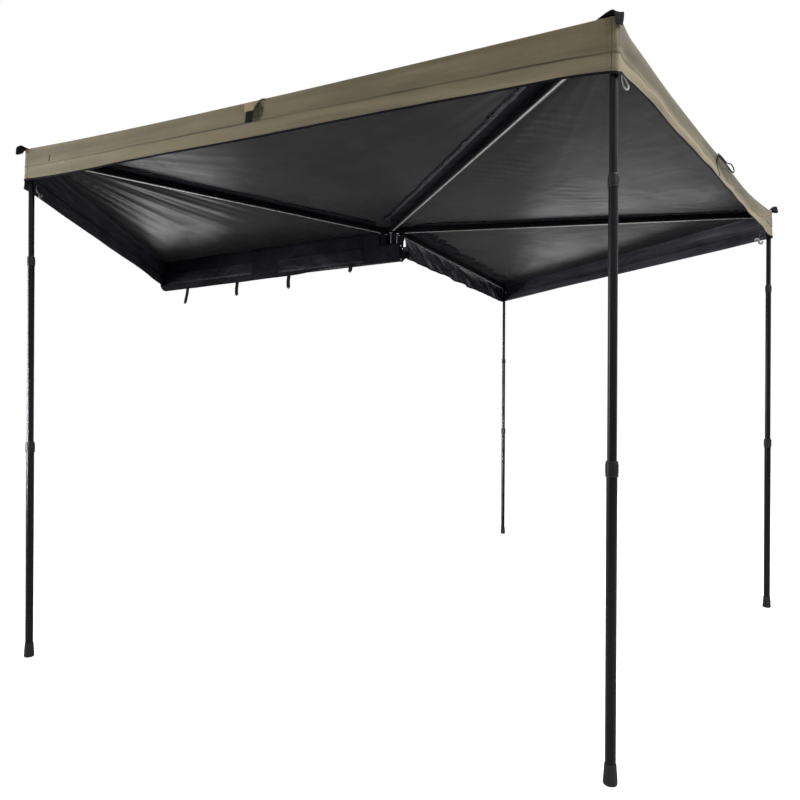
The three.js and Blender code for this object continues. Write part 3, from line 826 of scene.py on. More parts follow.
class AWNING_OT_stage(bpy.types.Operator):
    """Sets the camera, the floor, the surroundings and the lamps"""

    bl_idname = "awning.stage"
    bl_label = "Stage"

    # each lamp's name, place, aim, size, power and spread
    lamps = (
        ("side_lamp", (5.6, -1.8, 4.0), (1.9, -0.5, 0), 3.0, 620, 180),
        ("left_lamp", (-3.1, -3.4, -0.5), (-0.4, -1.8, 0), 1.6, 184, 180),
        ("left_low_lamp", (-2.3, -4.2, -1.15), (-1.12, -1.66, -1.15), 0.9, 25, 22),
        ("back_lamp", (0.5, 5.8, -1.2), (1.2, 0.2, 0.1), 2.6, 24, 180),
        ("back_left_lamp", (-4.4, 2.1, -1.2), (-0.8, -1.0, 0.1), 1.6, 15, 180),
    )

    def execute(self, context):
        stage = context.scene.awning_stage
        self.add_camera(context, stage)
        self.add_floor(context, stage)
        self.add_surroundings(context, stage.ambient)
        for lamp in self.lamps:
            self.add_lamp(context, *lamp)
        context.scene.view_settings.view_transform = "Standard"
        return {"FINISHED"}

    def add(self, context, name, data):
        thing = bpy.data.objects.new(name, data)
        context.scene.collection.objects.link(thing)
        return thing

    def add_camera(self, context, stage):
        data = bpy.data.cameras.new("camera")
        data.lens = stage.lens
        data.sensor_width = 36
        data.shift_y = stage.shift
        data.clip_end = 200
        camera = self.add(context, "camera", data)
        level = Matrix.Rotation(stage.turn, 4, "Z") @ TIP_OVER
        camera.matrix_world = (
            Matrix.Translation(stage.place) @ level @ Matrix.Rotation(stage.roll, 4, "Z")
        )
        context.scene.camera = camera

    def add_floor(self, context, stage):
        finish = Finish("studio_floor", stage.floor)
        cloud = finish.noise(finish.place(), 0.6, 2).ramped(0.3, 0.7)
        tone = finish.blend(cloud, shade(stage.floor, 0.99), stage.floor)
        matt = finish.node("ShaderNodeBsdfDiffuse", {}, {"Color": tone})
        paths = finish.node("ShaderNodeLightPath", output="Is Camera Ray")
        glow = finish.node("ShaderNodeEmission", {}, {"Strength": paths * stage.glow})
        finish.surface(finish.node("ShaderNodeAddShader", {}, {0: matt, 1: glow}))
        bm = bmesh.new()
        bmesh.ops.create_grid(bm, x_segments=1, y_segments=1, size=60)
        bmesh.ops.translate(bm, verts=bm.verts, vec=(0, 0, GROUND))
        mesh = bpy.data.meshes.new("studio_floor")
        bm.to_mesh(mesh)
        bm.free()
        mesh.materials.append(finish.material)
        self.add(context, "studio_floor", mesh)

    def add_surroundings(self, context, level):
        world = bpy.data.worlds.new("studio")
        finish = Finish("studio", holder=world)
        strength = finish.seen() * (1 - level) + level
        finish.surface(
            finish.node("ShaderNodeBackground", {}, {"Color": (1, 1, 1), "Strength": strength}),
            "ShaderNodeOutputWorld",
        )
        context.scene.world = world

    def add_lamp(self, context, name, place, aim, size, power, spread):
        data = bpy.data.lights.new(name, "AREA")
        data.shape = "DISK"
        data.size = size
        data.energy = power
        data.spread = math.radians(spread)
        lamp = self.add(context, name, data)
        lamp.location = place
        lamp.visible_camera = False
        aimed = Vector(aim) - Vector(place)
        lamp.rotation_euler = aimed.to_track_quat("-Z", "Y").to_euler()


# Canopy

# for each panel: where its creases fan out from (0 and 1 are its corners, 4 is the hub), how
# closely they stand, and how high
PULLS = (
    ((0, 11, 1.0), (1, 9.5, 4.8), (4, 9, 0.5)),
    ((0, 13, 0.7), (1, 12, 0.7), (4, 8, 0.5)),
    ((0, 12, 0.7), (1, 14, 0.8), (4, 9, 0.5)),
    ((0, 13, 0.7), (1, 12, 1.0), (4, 10, 0.8)),
)
# rows of short creases beside the second arm: panel, start, end, width and height
RIPPLES = (
    (2, (1.04, -0.743), (1.425, -1.134), 0.13, 0.30),
    (2, (1.14, -0.784), (1.45, -0.24), 0.13, 0.13),
    (1, (0.66, -1.10), (0.83, -1.33), 0.10, 0.16),
)
# millimetres that the third panel's outer edge droops, at even steps along it
SIDE_DROOP = (0, 12, 18, 26, 32, 35, 38, 40, 42, 43, 42, 43, 46, 49, 51, 48, 42, 33, 22, 11, 0)


def corner_curve(before, corner, after, reach, amount):
    """A point and its direction on the rounded way round a corner."""
    start = corner + (before - corner).normalized() * reach
    end = corner + (after - corner).normalized() * reach
    point = start * (1 - amount) ** 2 + corner * 2 * amount * (1 - amount) + end * amount ** 2
    heading = (corner - start) * (1 - amount) + (end - corner) * amount
    return point, heading.normalized()


def outline(panel, across, reach):
    """The canopy's outer edge in plan: a point and the direction that faces out."""
    start, end = CORNERS[panel], CORNERS[panel + 1]
    edge = end - start
    run = edge.length * across
    if panel > 0 and run < reach:
        amount = 0.5 + 0.5 * run / reach
        point, heading = corner_curve(CORNERS[panel - 1], start, end, reach, amount)
    elif panel < 3 and edge.length - run < reach:
        amount = 0.5 - 0.5 * (edge.length - run) / reach
        point, heading = corner_curve(start, end, CORNERS[panel + 2], reach, amount)
    else:
        point, heading = start + edge * across, edge.normalized()
    for arm in ARMS[:3]:
        away = point - (arm.pin + arm.along * arm.reach)
        if away.length < POLE_ROOM:
            point = point + away.normalized() * (POLE_ROOM - away.length)
    return point, Vector((heading.y, -heading.x, 0))


def from_line(point, start, end):
    """Distance of a plan point from a line."""
    run = (end - start).normalized()
    gap = point - start
    return abs(gap.x * run.y - gap.y * run.x)


def ripple_height(panel, point):
    """Short creases in rows beside the second arm, in the panels on both sides of it."""
    height = 0.0
    away = -0.4698 * point.x + 0.8828 * point.y
    right = 0.8828 * point.x + 0.4698 * point.y
    for index, (which, start, end, width, size) in enumerate(RIPPLES):
        if which != panel:
            continue
        start, end = flat(*start), flat(*end)
        run = end - start
        amount = clamp((point - start).dot(run) / run.length_squared)
        off = (point - start - run * amount).length
        mask = hump(off, 0, width) * ease(0.55 + sway(right * 6.5, away * 4.0, 6.6 + index) * 1.7)
        wander = 3.2 * sway(right * 4.5, away * 2.5, 1.7 + index)
        height += mask * size * math.sin(away * math.tau / 0.056 + wander)
    return height


def crease_height(panel, point, crease):
    """Long creases that fan out from the corners and the hub, and a slow swell."""
    start, end = CORNERS[panel], CORNERS[panel + 1]
    height = 0.6 * sway(point.x * 1.7, point.y * 1.7, panel * 5.3)
    for origin, pitch, strength in PULLS[panel]:
        gap = point - {0: start, 1: end, 4: HUB}[origin]
        far = gap.length
        angle = math.atan2(gap.y, gap.x)
        fade = ease(far / 0.3) * math.exp(-far / 0.66)
        wave = sway(angle * pitch, far * 0.55, panel * 3.1 + origin * 7.7)
        fine = sway(angle * pitch * 2.3, far * 1.1, panel * 2.3 + origin * 4.1)
        height += strength * fade * (1.8 * wave + 0.7 * fine)
    edge_gap = from_line(point, start, end)
    seam_gap = min(
        from_line(point, KNEES[panel], start), from_line(point, KNEES[panel + 1], end)
    )
    gather = sway(point.x * 9, point.y * 9, panel) * math.exp(-seam_gap / 0.16)
    height += 0.5 * gather + ripple_height(panel, point)
    return crease * height * ease((seam_gap - 0.014) / 0.09) * ease(edge_gap / 0.08)


def edge_rise(panel, across, slack):
    """How far a panel's outer edge stands above the arms' tops."""
    if panel == 1:
        lift = 0.016 * across ** 3 + 0.004 * (1 - across) ** 8
        return lift - 0.011 * bow(across) * (1 - across)
    if panel == 2:
        spot = clamp(across) * (len(SIDE_DROOP) - 1)
        first = min(int(spot), len(SIDE_DROOP) - 2)
        droop = mix(SIDE_DROOP[first], SIDE_DROOP[first + 1], spot - first)
        return 0.016 * (1 - ease(across / 0.04)) - droop * MM
    return (0.004 * across ** 8 if panel == 0 else 0.0) - slack * bow(across)


def hem_drop(panel, across, run):
    """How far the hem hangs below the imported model's."""
    if panel == 0:
        return 0.012 * ease(1 - run / 0.5)
    if panel == 1:
        return 0.005 * ease(across / 0.1) + 0.004 * ease((across - 0.93) / 0.07)
    if panel == 2:
        return 0.009 + 0.005 * across ** 2 - 0.004 * hump(across, 0.13, 0.07)
    return 0.014 * ease(1 - across / 0.75)


class CanopyHalf:
    """Half a panel with its part of the valance, from a seam to the panel's middle."""

    def __init__(self, panel, half, cloth):
        self.panel, self.half, self.cloth = panel, half, cloth
        self.body = PANEL_BODIES[panel + half]
        self.start, self.end = CORNERS[panel:panel + 2]
        self.width = (self.end - self.start).length
        self.edge = (self.end - self.start).normalized()
        self.knees = KNEES[panel:panel + 2]
        self.top = CANVAS_TOP + 0.0016
        self.hem = SIDE_HEM if panel == 0 else HEM
        self.drop = self.top - self.hem
        self.hem_share = 1 - cloth.binding / self.drop
        self.seats = (0.0 if panel == 0 else SEAT, SEAT + (SKIRT_ASIDE if panel == 3 else 0.0))
        self.rows = self.stations()

    def span(self, out):
        """The panel's width at a share of the way out from the hub."""
        return mix((self.knees[1] - self.knees[0]).length, self.width, out)

    def free(self, across, out):
        """A share of the cloth's free width between its two seats."""
        low, far = (min(0.45, seat / self.span(out)) for seat in self.seats)
        return clamp((across - low) / (1 - far - low))

    def rim(self, across):
        """A point of the outer edge in plan, and the way out of it."""
        return outline(self.panel, across, self.cloth.corner_round)

    def plan(self, across, out, point, outward):
        """A point of the top in plan; below 0 it runs on from the knees to the hub."""
        knee = self.knees[0].lerp(self.knees[1], across)
        if out < 0:
            return HUB.lerp(knee, 1 + out)
        return knee.lerp(point - outward * self.cloth.fold_radius, out)

    def place(self, across, row):
        return self.locate(across, *self.rows[row])

    def locate(self, across, kind, value):
        """A point of the top, of the fold or of the hanging valance."""
        point, outward = self.rim(across)
        radius = self.cloth.fold_radius
        rise = edge_rise(self.panel, across, self.cloth.edge_sag)
        if kind == "top":
            at = self.plan(across, value, point, outward)
            out = clamp(value)
            belly = bow(self.free(across, out)) * self.cloth.panel_sag * bow(out) * out
            lift = rise * out ** (3 if rise < 0 else 7)
            height = self.top - belly + lift + crease_height(self.panel, at, self.cloth.crease)
        elif kind == "fold":
            turn = value * math.pi / 2
            at = point - outward * radius * (1 - math.sin(turn))
            height = self.top + rise - radius * (1 - math.cos(turn))
        else:
            out, height = self.hang(across, value, rise)
            at = point + outward * out
        return standing(at.x, at.y, height)

    def hang(self, across, share, rise):
        """How far out and how high the valance is at a share of its drop."""
        run = across * self.width
        corner = min(run, self.width - run)
        free = ease((corner - 0.02) / 0.25)
        drop = self.drop * share
        roomy = (1.0, 1.9, 4.8, 1.0)[self.panel]
        slant = (4.0, -9.0, 3.0, 3.0)[self.panel]
        wave = sway(run * 2.1, drop * 2.0, self.panel * 9.1)
        fine = sway(run * 6.5 + drop * 5, drop * 7, self.panel * 3.7)
        long_fold = sway(run * 1.5 + drop * slant, drop * 15, self.panel * 6.3)
        push = free * share * self.cloth.hem_wave * (0.6 + 1.1 * wave + 0.35 * fine)
        belly = bow(share) * (0.0035 * long_fold + 0.0022 * fine) * roomy * ease(corner / 0.1)
        pull = 0.0028 * sway((run + drop * 1.3) * 10, drop * 3, self.panel * 2.9)
        belly += pull * bow(share) * math.exp(-corner / 0.25) * ease(corner / 0.03)
        seam = self.cloth.seam_share
        belly += 0.0024 * hump(share, seam - 0.14, 0.16) * free
        step = -0.0014 if share > seam else 0.0
        tape = 0.0009 if drop > self.drop - self.cloth.binding else 0.0
        flare = 0.0065 * share ** 1.5 * hump(corner, 0, 0.045)
        if self.panel == 1:
            lean = ease(across / 0.3) * mix(0.7, -1.0, ease((across - 0.42) / 0.38))
            fold = min(share / seam, (1 - share) / (1 - seam))
            belly += 0.0075 * lean * ease(corner / 0.12) * fold
        low_corner = (9.0, self.width - run, run, 9.0)[self.panel]
        bottom = self.hem - hem_drop(self.panel, across, run)
        bottom -= 0.013 * math.exp(-low_corner / 0.05)
        level = share + 0.055 * bow(share) * math.exp(-low_corner / 0.3)
        height = mix(self.top + rise - self.cloth.fold_radius, bottom, level)
        return max(-0.0075, push + belly + step + tape + flare), height

    def chart(self, across, row):
        """A point's place on the flat cut, in metres."""
        kind, value = self.rows[row]
        run = across * self.width
        if kind == "top":
            gap = self.plan(across, value, *self.rim(across)) - self.start
            return (gap.dot(self.edge), gap.dot(Vector((-self.edge.y, self.edge.x, 0))))
        if kind == "fold":
            return (run, self.cloth.fold_radius * (1 - value))
        return (run, -self.drop * value)

    def stations(self):
        """The rows of the grid, from the hub to the hem."""
        seam, edge = self.cloth.seam_share, self.hem_share
        rows = {
            "top": [-0.9, -0.45, *spaced(0, 0.965, 0.0125), 0.973, 0.98, 0.987, 0.993, 1.0],
            "fold": [0.33, 0.66, 1.0],
            "hang": [*spaced(0.05, seam - 0.02, 0.05), seam, seam + 0.012,
                     *spaced(seam + 0.05, edge - 0.03, 0.05), edge - 0.006, edge + 0.006, 1.0],
        }
        return [(kind, value) for kind, values in rows.items() for value in values]

    def columns(self):
        """The columns of the grid, closer at the corner, to the panel's middle."""
        near = (0, 0.003, 0.006, 0.009, 0.012, 0.0155, 0.020, 0.0245, 0.032, 0.044)
        shares = [run / self.width for run in near] + spaced(0.056 / self.width, 0.5, 0.0065)
        return shares if self.half == 0 else [1 - value for value in reversed(shares)]

    def paint(self, _, row):
        kind, value = self.rows[int(row)]
        return 2 if kind == "hang" and value >= self.hem_share else 0

    def inner(self, _, row):
        kind, value = self.rows[int(row)]
        return 1 if kind == "top" and value < 0.985 else 3

    def fold_to_seam(self, piece):
        """Works out where a piece would gather beside this half's seam, and gives the piece its own
        mesh.
        """
        tip = CORNERS[self.panel + self.half]
        run = (tip - KNEES[self.panel + self.half]).normalized()
        across = Vector((-run.y, run.x, 0))
        if across.dot((self.start + self.end) / 2 - tip) < 0:
            across = -across
        beside = tuple(tip + across * GATHER[self.panel][self.half])
        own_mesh(piece)
        return piece


class AWNING_OT_canopy(bpy.types.Operator):
    """Makes the canopy's four panels and their valance, each in two halves, each on the body of the
    rail or of an arm
    """

    bl_idname = "awning.canopy"
    bl_label = "Canopy"

    def execute(self, context):
        for panel in range(4):
            for half in range(2):
                self.add_half(CanopyHalf(panel, half, context.scene.awning_cloth))
        return {"FINISHED"}

    def add_half(self, shape):
        panel, half = shape.panel, shape.half
        canvas = ("side_canvas", "canvas", "right_canvas", "canvas")[panel]
        piece = cloth_piece(
            f"canopy_{panel + 1}_{'ab'[half]}", shape.columns(), range(len(shape.rows)),
            shape.place, shape.chart, shape.body, [canvas, "lining", "binding", "inner_cloth"],
            UP, shape.cloth.thickness, shape.paint, shape.inner, [f"canopy_panel_{panel + 1}"],
        )
        shape.fold_to_seam(piece)
        reach = max((shape.start - HUB).length, (shape.end - HUB).length)
        reach + shape.drop
        f"arm_{ARMS[max(0, panel + half - 1)].name}"


# Bands beside the arms, skirt and travel bag


class AWNING_OT_bands(bpy.types.Operator):
    """Makes the black band, gathered at its edge, that lies under the canopy beside each arm; its
    outer part fades as painted shade into the lining
    """

    bl_idname = "awning.bands"
    bl_label = "Arm bands"

    # for each arm: its panel, half, width, raggedness, and how far down it is gathered
    rows = ((1, 0, 0.100, 0.016, 0.0), (1, 1, 0.106, 0.010, 1.0), (2, 1, 0.098, 0.014, 0.0),
            (3, 1, 0.135, 0.075, 0.2))

    def execute(self, context):
        for arm, (panel, half, *row) in zip(ARMS, self.rows):
            self.add_band(CanopyHalf(panel, half, context.scene.awning_cloth), arm, *row)
        return {"FINISHED"}

    def add_band(self, shape, arm, outer, ragged, gathered):
        panel, half, cloth, last = shape.panel, shape.half, shape.cloth, arm is ARMS[-1]
        slant = abs(shape.edge.x * arm.along.y - shape.edge.y * arm.along.x)
        beyond = SKIRT_ASIDE if last else 0.0
        inner, reach = 0.0135, arm.reach

        def place(u, v):
            run = u * reach
            jag = abs(sway(run * 9.5, 3.3)) + 0.5 * abs(sway(run * 26, 5.1))
            width = outer + ragged * (0.55 - 1.5 * jag) * ease((v - 0.3) / 0.7)
            taper = ease((0.985 - u) / 0.05) * ease((u - 0.03) / 0.06)
            gap = beyond + inner + (width - inner) * v * mix(0.35, 1, taper)
            across = gap / slant / shape.span(u)
            gather = 0.0022 * sway(run * 26, v * 2.2, panel * 7.7 + half)
            pucker = 0.0052 * sway(run * 80, v * 6, panel * 2.9 + half) * gathered
            lift = (pucker + 0.002 * gathered) * hump(v, 0.72, 0.13)
            lift = max(0.0, 0.0016 + gather + lift)
            under = cloth.thickness + 0.0012 + lift * ease(v / 0.5)
            return shape.locate(1 - across if half else across, "top", u) - UP * under

        def paint(u, v):
            if gathered > 0.5 and 0.58 < v < 0.84:
                return 1
            return 2 if last and v > 0.7 else 0

        piece = cloth_piece(
            f"arm_band_{arm.name}", spaced(0.035, 0.975, 0.0065 / reach), spaced(0, 1, 0.06),
            place, lambda u, v: (u * reach, v * 0.1), arm.body,
            ["band", "gathered", "black_cloth"], -UP, 0.0006, paint,
        )
        area = mesh_area(piece)
        shape.fold_to_seam(piece)
        min(area, outer * reach)


class AWNING_OT_skirt(bpy.types.Operator):
    """Makes the wrinkled skirt that hangs beside the last arm"""

    bl_idname = "awning.skirt"
    bl_label = "Skirt"

    def execute(self, context):
        arm = ARMS[-1]
        low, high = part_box("rear_skirt")
        start, end = low.y - arm.pin.y + 0.026, high.y - arm.pin.y
        bottom, top = heights("rear_skirt")
        run = end - start

        def place(share, v):
            w = clamp((mix(high.z, low.z, v) - 0.080) / 0.056)
            u = mix(start + 0.064 * math.sqrt(bow(w)), end, share)
            ends = ease((u - start) / 0.10) * ease((end - u) / 0.10)
            streak = sway(u * 5.5 - v * 1.1, v * 0.9, 3.3)
            second = sway(u * 11 - v * 2.4, v * 1.3, 8.8)
            fine = sway(u * 30 - v * 5, v * 3, 1.2)
            push = 0.012 + 0.018 * streak + 0.013 * second + 0.005 * fine
            aside = SKIRT_ASIDE - 0.004 + max(0.0, push) * ends * ease(v / 0.3)
            lift = 0.005 * sway(u * 4, 2.2) * ends * v - 0.003 * v
            return arm.frame @ Vector((u, aside, mix(top, bottom, v) + lift))

        piece = cloth_piece(
            "skirt", spaced(0, 1, 0.004), spaced(0, 1, 0.033), place,
            lambda u, v: (u * run, -v * (top - bottom)), arm.body, ["skirt_cloth", "binding"],
            arm.aside, 0.0011, lambda u, v: int(v > 0.93), nodes=["rear_skirt"],
        )
        return {"FINISHED"}


class AWNING_OT_travel_bag(bpy.types.Operator):
    """Makes the open travel bag: its flap, patches, lip, ties, and the cloth round the hub"""

    bl_idname = "awning.travel_bag"
    bl_label = "Travel bag"

    # along the rail from the first pin, and above the ground
    patches = ((-1.93, -1.10, 2.062, 2.150), (-0.87, -0.18, 2.050, 2.150))
    # along the rail from the first pin, length and lean
    ties = ((-1.724, 0.112, -0.22), (-1.237, 0.094, -0.05), (-0.775, 0.088, -0.04),
            (-0.270, 0.050, -0.25))
    curtains = (("hub_curtain_left", -0.100, -0.001, 2.130, 2.232, None),
                ("hub_curtain_middle", 0.000, 0.0424, 2.100, 2.232, "pole_b_fold"),
                ("hub_curtain_right", 0.0436, 0.090, 2.120, 2.202, "pole_e_fold"))
    end_round = 0.064
    tie_width = 0.030

    def execute(self, context):
        low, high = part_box("travel_bag")
        self.pin = ARMS[0].pin
        self.front = low.y
        self.far, self.near = low.x - 0.030, high.x + 0.019
        self.top = heights("travel_bag")[1] + 0.0006
        rail_bottom, self.rail_top = heights("back_rail")
        self.rail_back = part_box("back_rail")[1].y
        self.notch = self.pin.x - 0.066
        self.bottom = rail_bottom - 0.010
        self.add_flap()
        for index, patch in enumerate(self.patches):
            self.add_patch(index, *patch)
        self.add_lip()
        for index, tie in enumerate(self.ties):
            self.add_tie(index, *tie)
        for curtain in self.curtains:
            self.add_curtain(*curtain)
        self.add_end_flap()
        return {"FINISHED"}

    def bulge(self, x, height):
        """How far the flap stands forward of its flat place."""
        ends = ease((x - self.far) / 0.06) * ease((self.near - x) / 0.05)
        slow = sway(x * 2.4, height * 3, 4.4)
        drape = sway(x * 7 + height * 6, height * 9, 2.6)
        fine = sway(x * 21, height * 30, 9.2)
        return max(0.0002, (0.0025 + 0.0035 * slow + 0.0022 * drape + 0.0009 * fine) * ends)

    def bottom_at(self, x):
        far = clamp((self.near - x) / (self.near - self.far))
        bottom = self.bottom - 0.010 * far + 0.014 * ease((0.12 - far) / 0.12)
        bottom += 0.004 * sway(x * 1.4, 7.7) + 0.003 * sway(x * 4.1, 2.7)
        bottom += 0.024 * hump(x, -0.20, 0.26)
        radius = self.end_round
        gap = x - (self.far + radius)
        if gap < 0:
            bottom += min(radius - math.sqrt(max(0.0, radius ** 2 - gap ** 2)), 0.063)
        return bottom

    def top_at(self, x):
        return self.top if x < self.notch else self.rail_top

    def add_cloth(self, name, us, vs, place, chart, material, thickness, facing=FRONT, nodes=()):
        return cloth_piece(name, us, vs, place, chart, RAIL_BODY, [material], facing, thickness,
                           nodes=nodes)

    def add_flap(self):
        def place(x, v):
            height = mix(self.top_at(x), self.bottom_at(x), v)
            return standing(x, self.front + 0.0012 - self.bulge(x, height) * ease(v / 0.08), height)

        xs = spaced(self.far, self.far + 0.066, 0.0055)
        xs += spaced(self.far + 0.077, self.notch, 0.011)
        xs += spaced(self.notch + 0.001, self.near, 0.009)
        flap = self.add_cloth(
            "travel_bag_flap", xs, spaced(0, 1, 0.028), place,
            lambda x, v: (x, self.top_at(x) - v * 0.21), "black_cloth", 0.0012,
            nodes=["travel_bag"],
        )
        run, height = self.near - self.far, self.top - self.bottom
        self.press_flat(flap)
        min(mesh_area(flap) * 0.99, run * height)

    def press_flat(self, piece):
        """Gives a piece of the flap its own mesh."""
        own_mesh(piece)

    def add_patch(self, index, start, end, low, high):
        start, end = start + self.pin.x, end + self.pin.x

        def place(x, height):
            rim = min(x - start, end - x, height - low, high - height)
            out = self.bulge(x, height) + 0.0006 + 0.0026 * ease(rim / 0.012)
            return standing(x, self.front - out, height)

        patch = self.add_cloth(
            f"bag_patch_{index + 1}", spaced(start, end, 0.008), spaced(low, high, 0.005), place,
            lambda x, height: (x, height), "patch_cloth", 0.0010,
        )
        self.press_flat(patch)
        end - start
        high - low

    def add_lip(self):
        """A corded lip along the flap's lower edge."""
        points = []
        xs = spaced(self.far, self.far + 0.066, 0.0055) + spaced(self.far + 0.08, self.near, 0.02)
        for x in xs:
            height = self.bottom_at(x)
            out = self.bulge(x, height)
            points.append(standing(x, self.front - out + 0.0012, height + 0.001))
        finish_piece("bag_lip", tube_between(points, 0.0036, 10), RAIL_BODY, "binding")

    def add_tie(self, index, x, drop, lean):
        """A flat tie that hangs from the lip, with a moulded end."""
        x += self.pin.x
        top = self.bottom_at(x) + 0.004

        def place(u, v):
            swing = lean * drop * v * v + 0.0012 * math.sin(v * 5 + index)
            depth = self.front - 0.004 - 0.004 * math.sin(v * 3.1)
            return standing(x + swing + (u - 0.5) * self.tie_width, depth, top - drop * v)

        tie = self.add_cloth(
            f"bag_tie_{index + 1}", spaced(0, 1, 0.25), spaced(0, 1, 0.06), place,
            lambda u, v: (v * drop, u * self.tie_width), "webbing", 0.0012,
        )
        bm = bmesh.new()
        seat = Matrix.Translation(place(0.5, 1.0)) @ TIP_OVER
        rod(bm, 0.0078, (-0.007, 0.007), seat @ Matrix.Diagonal((1, 1, 0.5, 1)), 24)
        soften(bm, 0.0015)
        knob = finish_piece(f"bag_tie_end_{index + 1}", bm, RAIL_BODY, "nylon")

    def add_curtain(self, name, start, end, low, high, joint):
        """Cloth behind the hub bracket that closes the bag; a piece beside a folding pole gets its
        own mesh.
        """
        start, end = start + self.pin.x, end + self.pin.x

        def place(x, height):
            fold = 0.0004 * math.sin((x - start) * 260 + height * 30)
            curve = 0.0085 * bow(clamp((height - 2.158) / 0.060)) if joint == "pole_e_fold" else 0.0
            x += curve * ease((x - start) / (end - start))
            return standing(x, self.rail_back + 0.0016 + fold, height)

        piece = self.add_cloth(
            name, spaced(start, end, 0.004), spaced(low, high, 0.006), place,
            lambda x, height: (x, height), "black_cloth", 0.0008,
        )
        if joint:
            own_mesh(piece)

    def add_end_flap(self):
        """The bag's end, which hangs from the back of the rail past its end plate."""
        x = self.near - 0.002
        start, end = self.rail_back + 0.0008, self.rail_back + 0.115

        def place(y, v):
            amount = (y - start) / (end - start)
            top = 2.128 + 0.012 * amount ** 2 - 0.020 * bow(amount)
            bottom = 2.036 + 0.046 * ease(amount) + 0.003 * math.sin(y * 60)
            curl = 0.010 * math.sin(amount * 3.0) + 0.004 * sway(y * 30, v * 2)
            return standing(x - curl * ease(amount / 0.3), y, mix(top, bottom, v))

        piece = self.add_cloth(
            "bag_end_flap", spaced(start, end, 0.005), spaced(0, 1, 0.06), place,
            lambda y, v: (y, -v * 0.09), "black_cloth", 0.0012, Vector((1, 0, 0)),
        )


# Hardware


class AWNING_OT_arms(bpy.types.Operator):
    """Makes the arms' tubes, tips, knuckles and pins"""

    bl_idname = "awning.arms"
    bl_label = "Arms"

    def execute(self, context):
        hardware = context.scene.awning_hardware
        self.half = hardware.arm_width / 2
        for index, arm in enumerate(ARMS):
            self.add_tube(hardware, arm)
            self.add_tip(arm)
            self.add_knuckle(hardware, arm, index < 3)
            self.add_hub_pin(arm, PANEL_BODIES[index])
            self.add_pivot_pin(arm)
        return {"FINISHED"}

    def section(self, hardware):
        """The tube's outline: round edges, and a groove between two lips below."""
        half, edge, groove = self.half, hardware.arm_round, hardware.arm_groove
        lip, roof = groove + hardware.arm_lip, ARM_BOTTOM + 0.004
        points = [(-lip, ARM_BOTTOM), (-groove, ARM_BOTTOM), (-groove, roof),
                  (groove, roof), (groove, ARM_BOTTOM), (lip, ARM_BOTTOM)]
        low, high = ARM_BOTTOM + edge, ARM_TOP - edge
        for y, z, start in ((half - edge, low, -90), (half - edge, high, 0),
                            (edge - half, high, 90), (edge - half, low, 180)):
            for turn in (math.radians(start + step * 15) for step in range(7)):
                points.append((y + edge * math.cos(turn), z + edge * math.sin(turn)))
        return points

    def add_tube(self, hardware, arm):
        start, end = 0.0463, arm.reach - 0.0303
        bm = bmesh.new()
        prism(bm, self.section(hardware), start, end)
        # the lower lips take the light finish, a painted highlight
        for face in bm.faces:
            centre = face.calc_center_median()
            past = abs(centre.y) - hardware.arm_groove
            low = centre.z < ARM_BOTTOM + 0.0001 and 0.0001 < past < hardware.arm_lip
            face.material_index = int(low)
        for x in (start + 0.022, end - 0.022):
            for side in (-1, 1):
                at = Matrix.Translation((x, side * self.half, (ARM_BOTTOM + ARM_TOP) / 2))
                turn = Matrix.Rotation(-side * math.pi / 2, 4, "X")
                rod(bm, 0.0042, (-0.0005, 0.0014), at @ turn, 24)
        finish_piece(f"arm_tube_{arm.name}", bm, arm.body, ["coat", "bare"],
                     [f"arm_{arm.name}"], arm.frame)

    def add_tip(self, arm):
        half, reach, pivot = self.half, arm.reach, arm.pivot_height
        wide = half + 0.0012
        bm = bmesh.new()
        block(bm, (reach - 0.030, reach + 0.009), (-half, half), (ARM_BOTTOM, ARM_TOP))
        nose = [edge for edge in bm.edges if min(vert.co.x for vert in edge.verts) > reach
                and abs(edge.verts[0].co.z - edge.verts[1].co.z) > MM]
        round_edges(bm, nose, 0.008, 6)
        block(bm, (reach - 0.034, reach - 0.022), (-wide, wide),
              (ARM_BOTTOM - 0.0012, ARM_TOP - 0.0002))
        block(bm, (reach - 0.010, reach + 0.010), (-0.005, 0.005), (pivot, ARM_BOTTOM + 0.001))
        rod(bm, 0.010, (-0.005, 0.005), Matrix.Translation((reach, 0, pivot)) @ TIP_OVER)
        soften(bm, 0.0012)
        finish_piece(f"tip_bracket_{arm.name}", bm, arm.body, "cast",
                     [f"arm_tip_{arm.name}"], arm.frame)

    def add_knuckle(self, hardware, arm, has_fork):
        wide = (-self.half, self.half)
        tongue = (ARM_BOTTOM + 0.0083, ARM_TOP - 0.0083)
        bm = bmesh.new()
        block(bm, (0.018, 0.046), wide, (ARM_BOTTOM, ARM_TOP))
        block(bm, (0.002, 0.020), wide, tongue)
        rod(bm, hardware.eye_radius, tongue)
        if has_fork:
            add_fork(bm, hardware)
        soften(bm, hardware.soften)
        finish_piece(f"knuckle_block_{arm.name}", bm, arm.body, "cast",
                     [f"knuckle_{arm.name}"], arm.frame)

    def add_hub_pin(self, arm, body):
        below = ARM_BOTTOM - 0.0003
        bm = bmesh.new()
        turned(bm, ((0, below - 0.003), (0.0078, below - 0.003), (0.009, below - 0.0018),
                    (0.009, below), (0.005, below), (0.005, ARM_TOP), (0, ARM_TOP)), 48)
        finish_piece(f"pin_of_arm_{arm.name}", bm, body, "zinc", [f"hub_pin_{arm.name}"],
                     arm.frame)

    def add_pivot_pin(self, arm):
        across = Matrix.Translation((0, 0, arm.pivot_height)) @ TIP_OVER
        bm = bmesh.new()
        rod(bm, 0.004, (-0.0115, 0.0115), across)
        for side in (-0.0128, 0.0128):
            rod(bm, 0.0062, (-0.0011, 0.0011), Matrix.Translation((0, side, 0)) @ across, 24)
        soften(bm, 0.0005)
        finish_piece(f"pivot_of_pole_{arm.name}", bm, arm.body, "zinc",
                     [f"pole_{arm.name}_pivot_pin"], arm.pole)


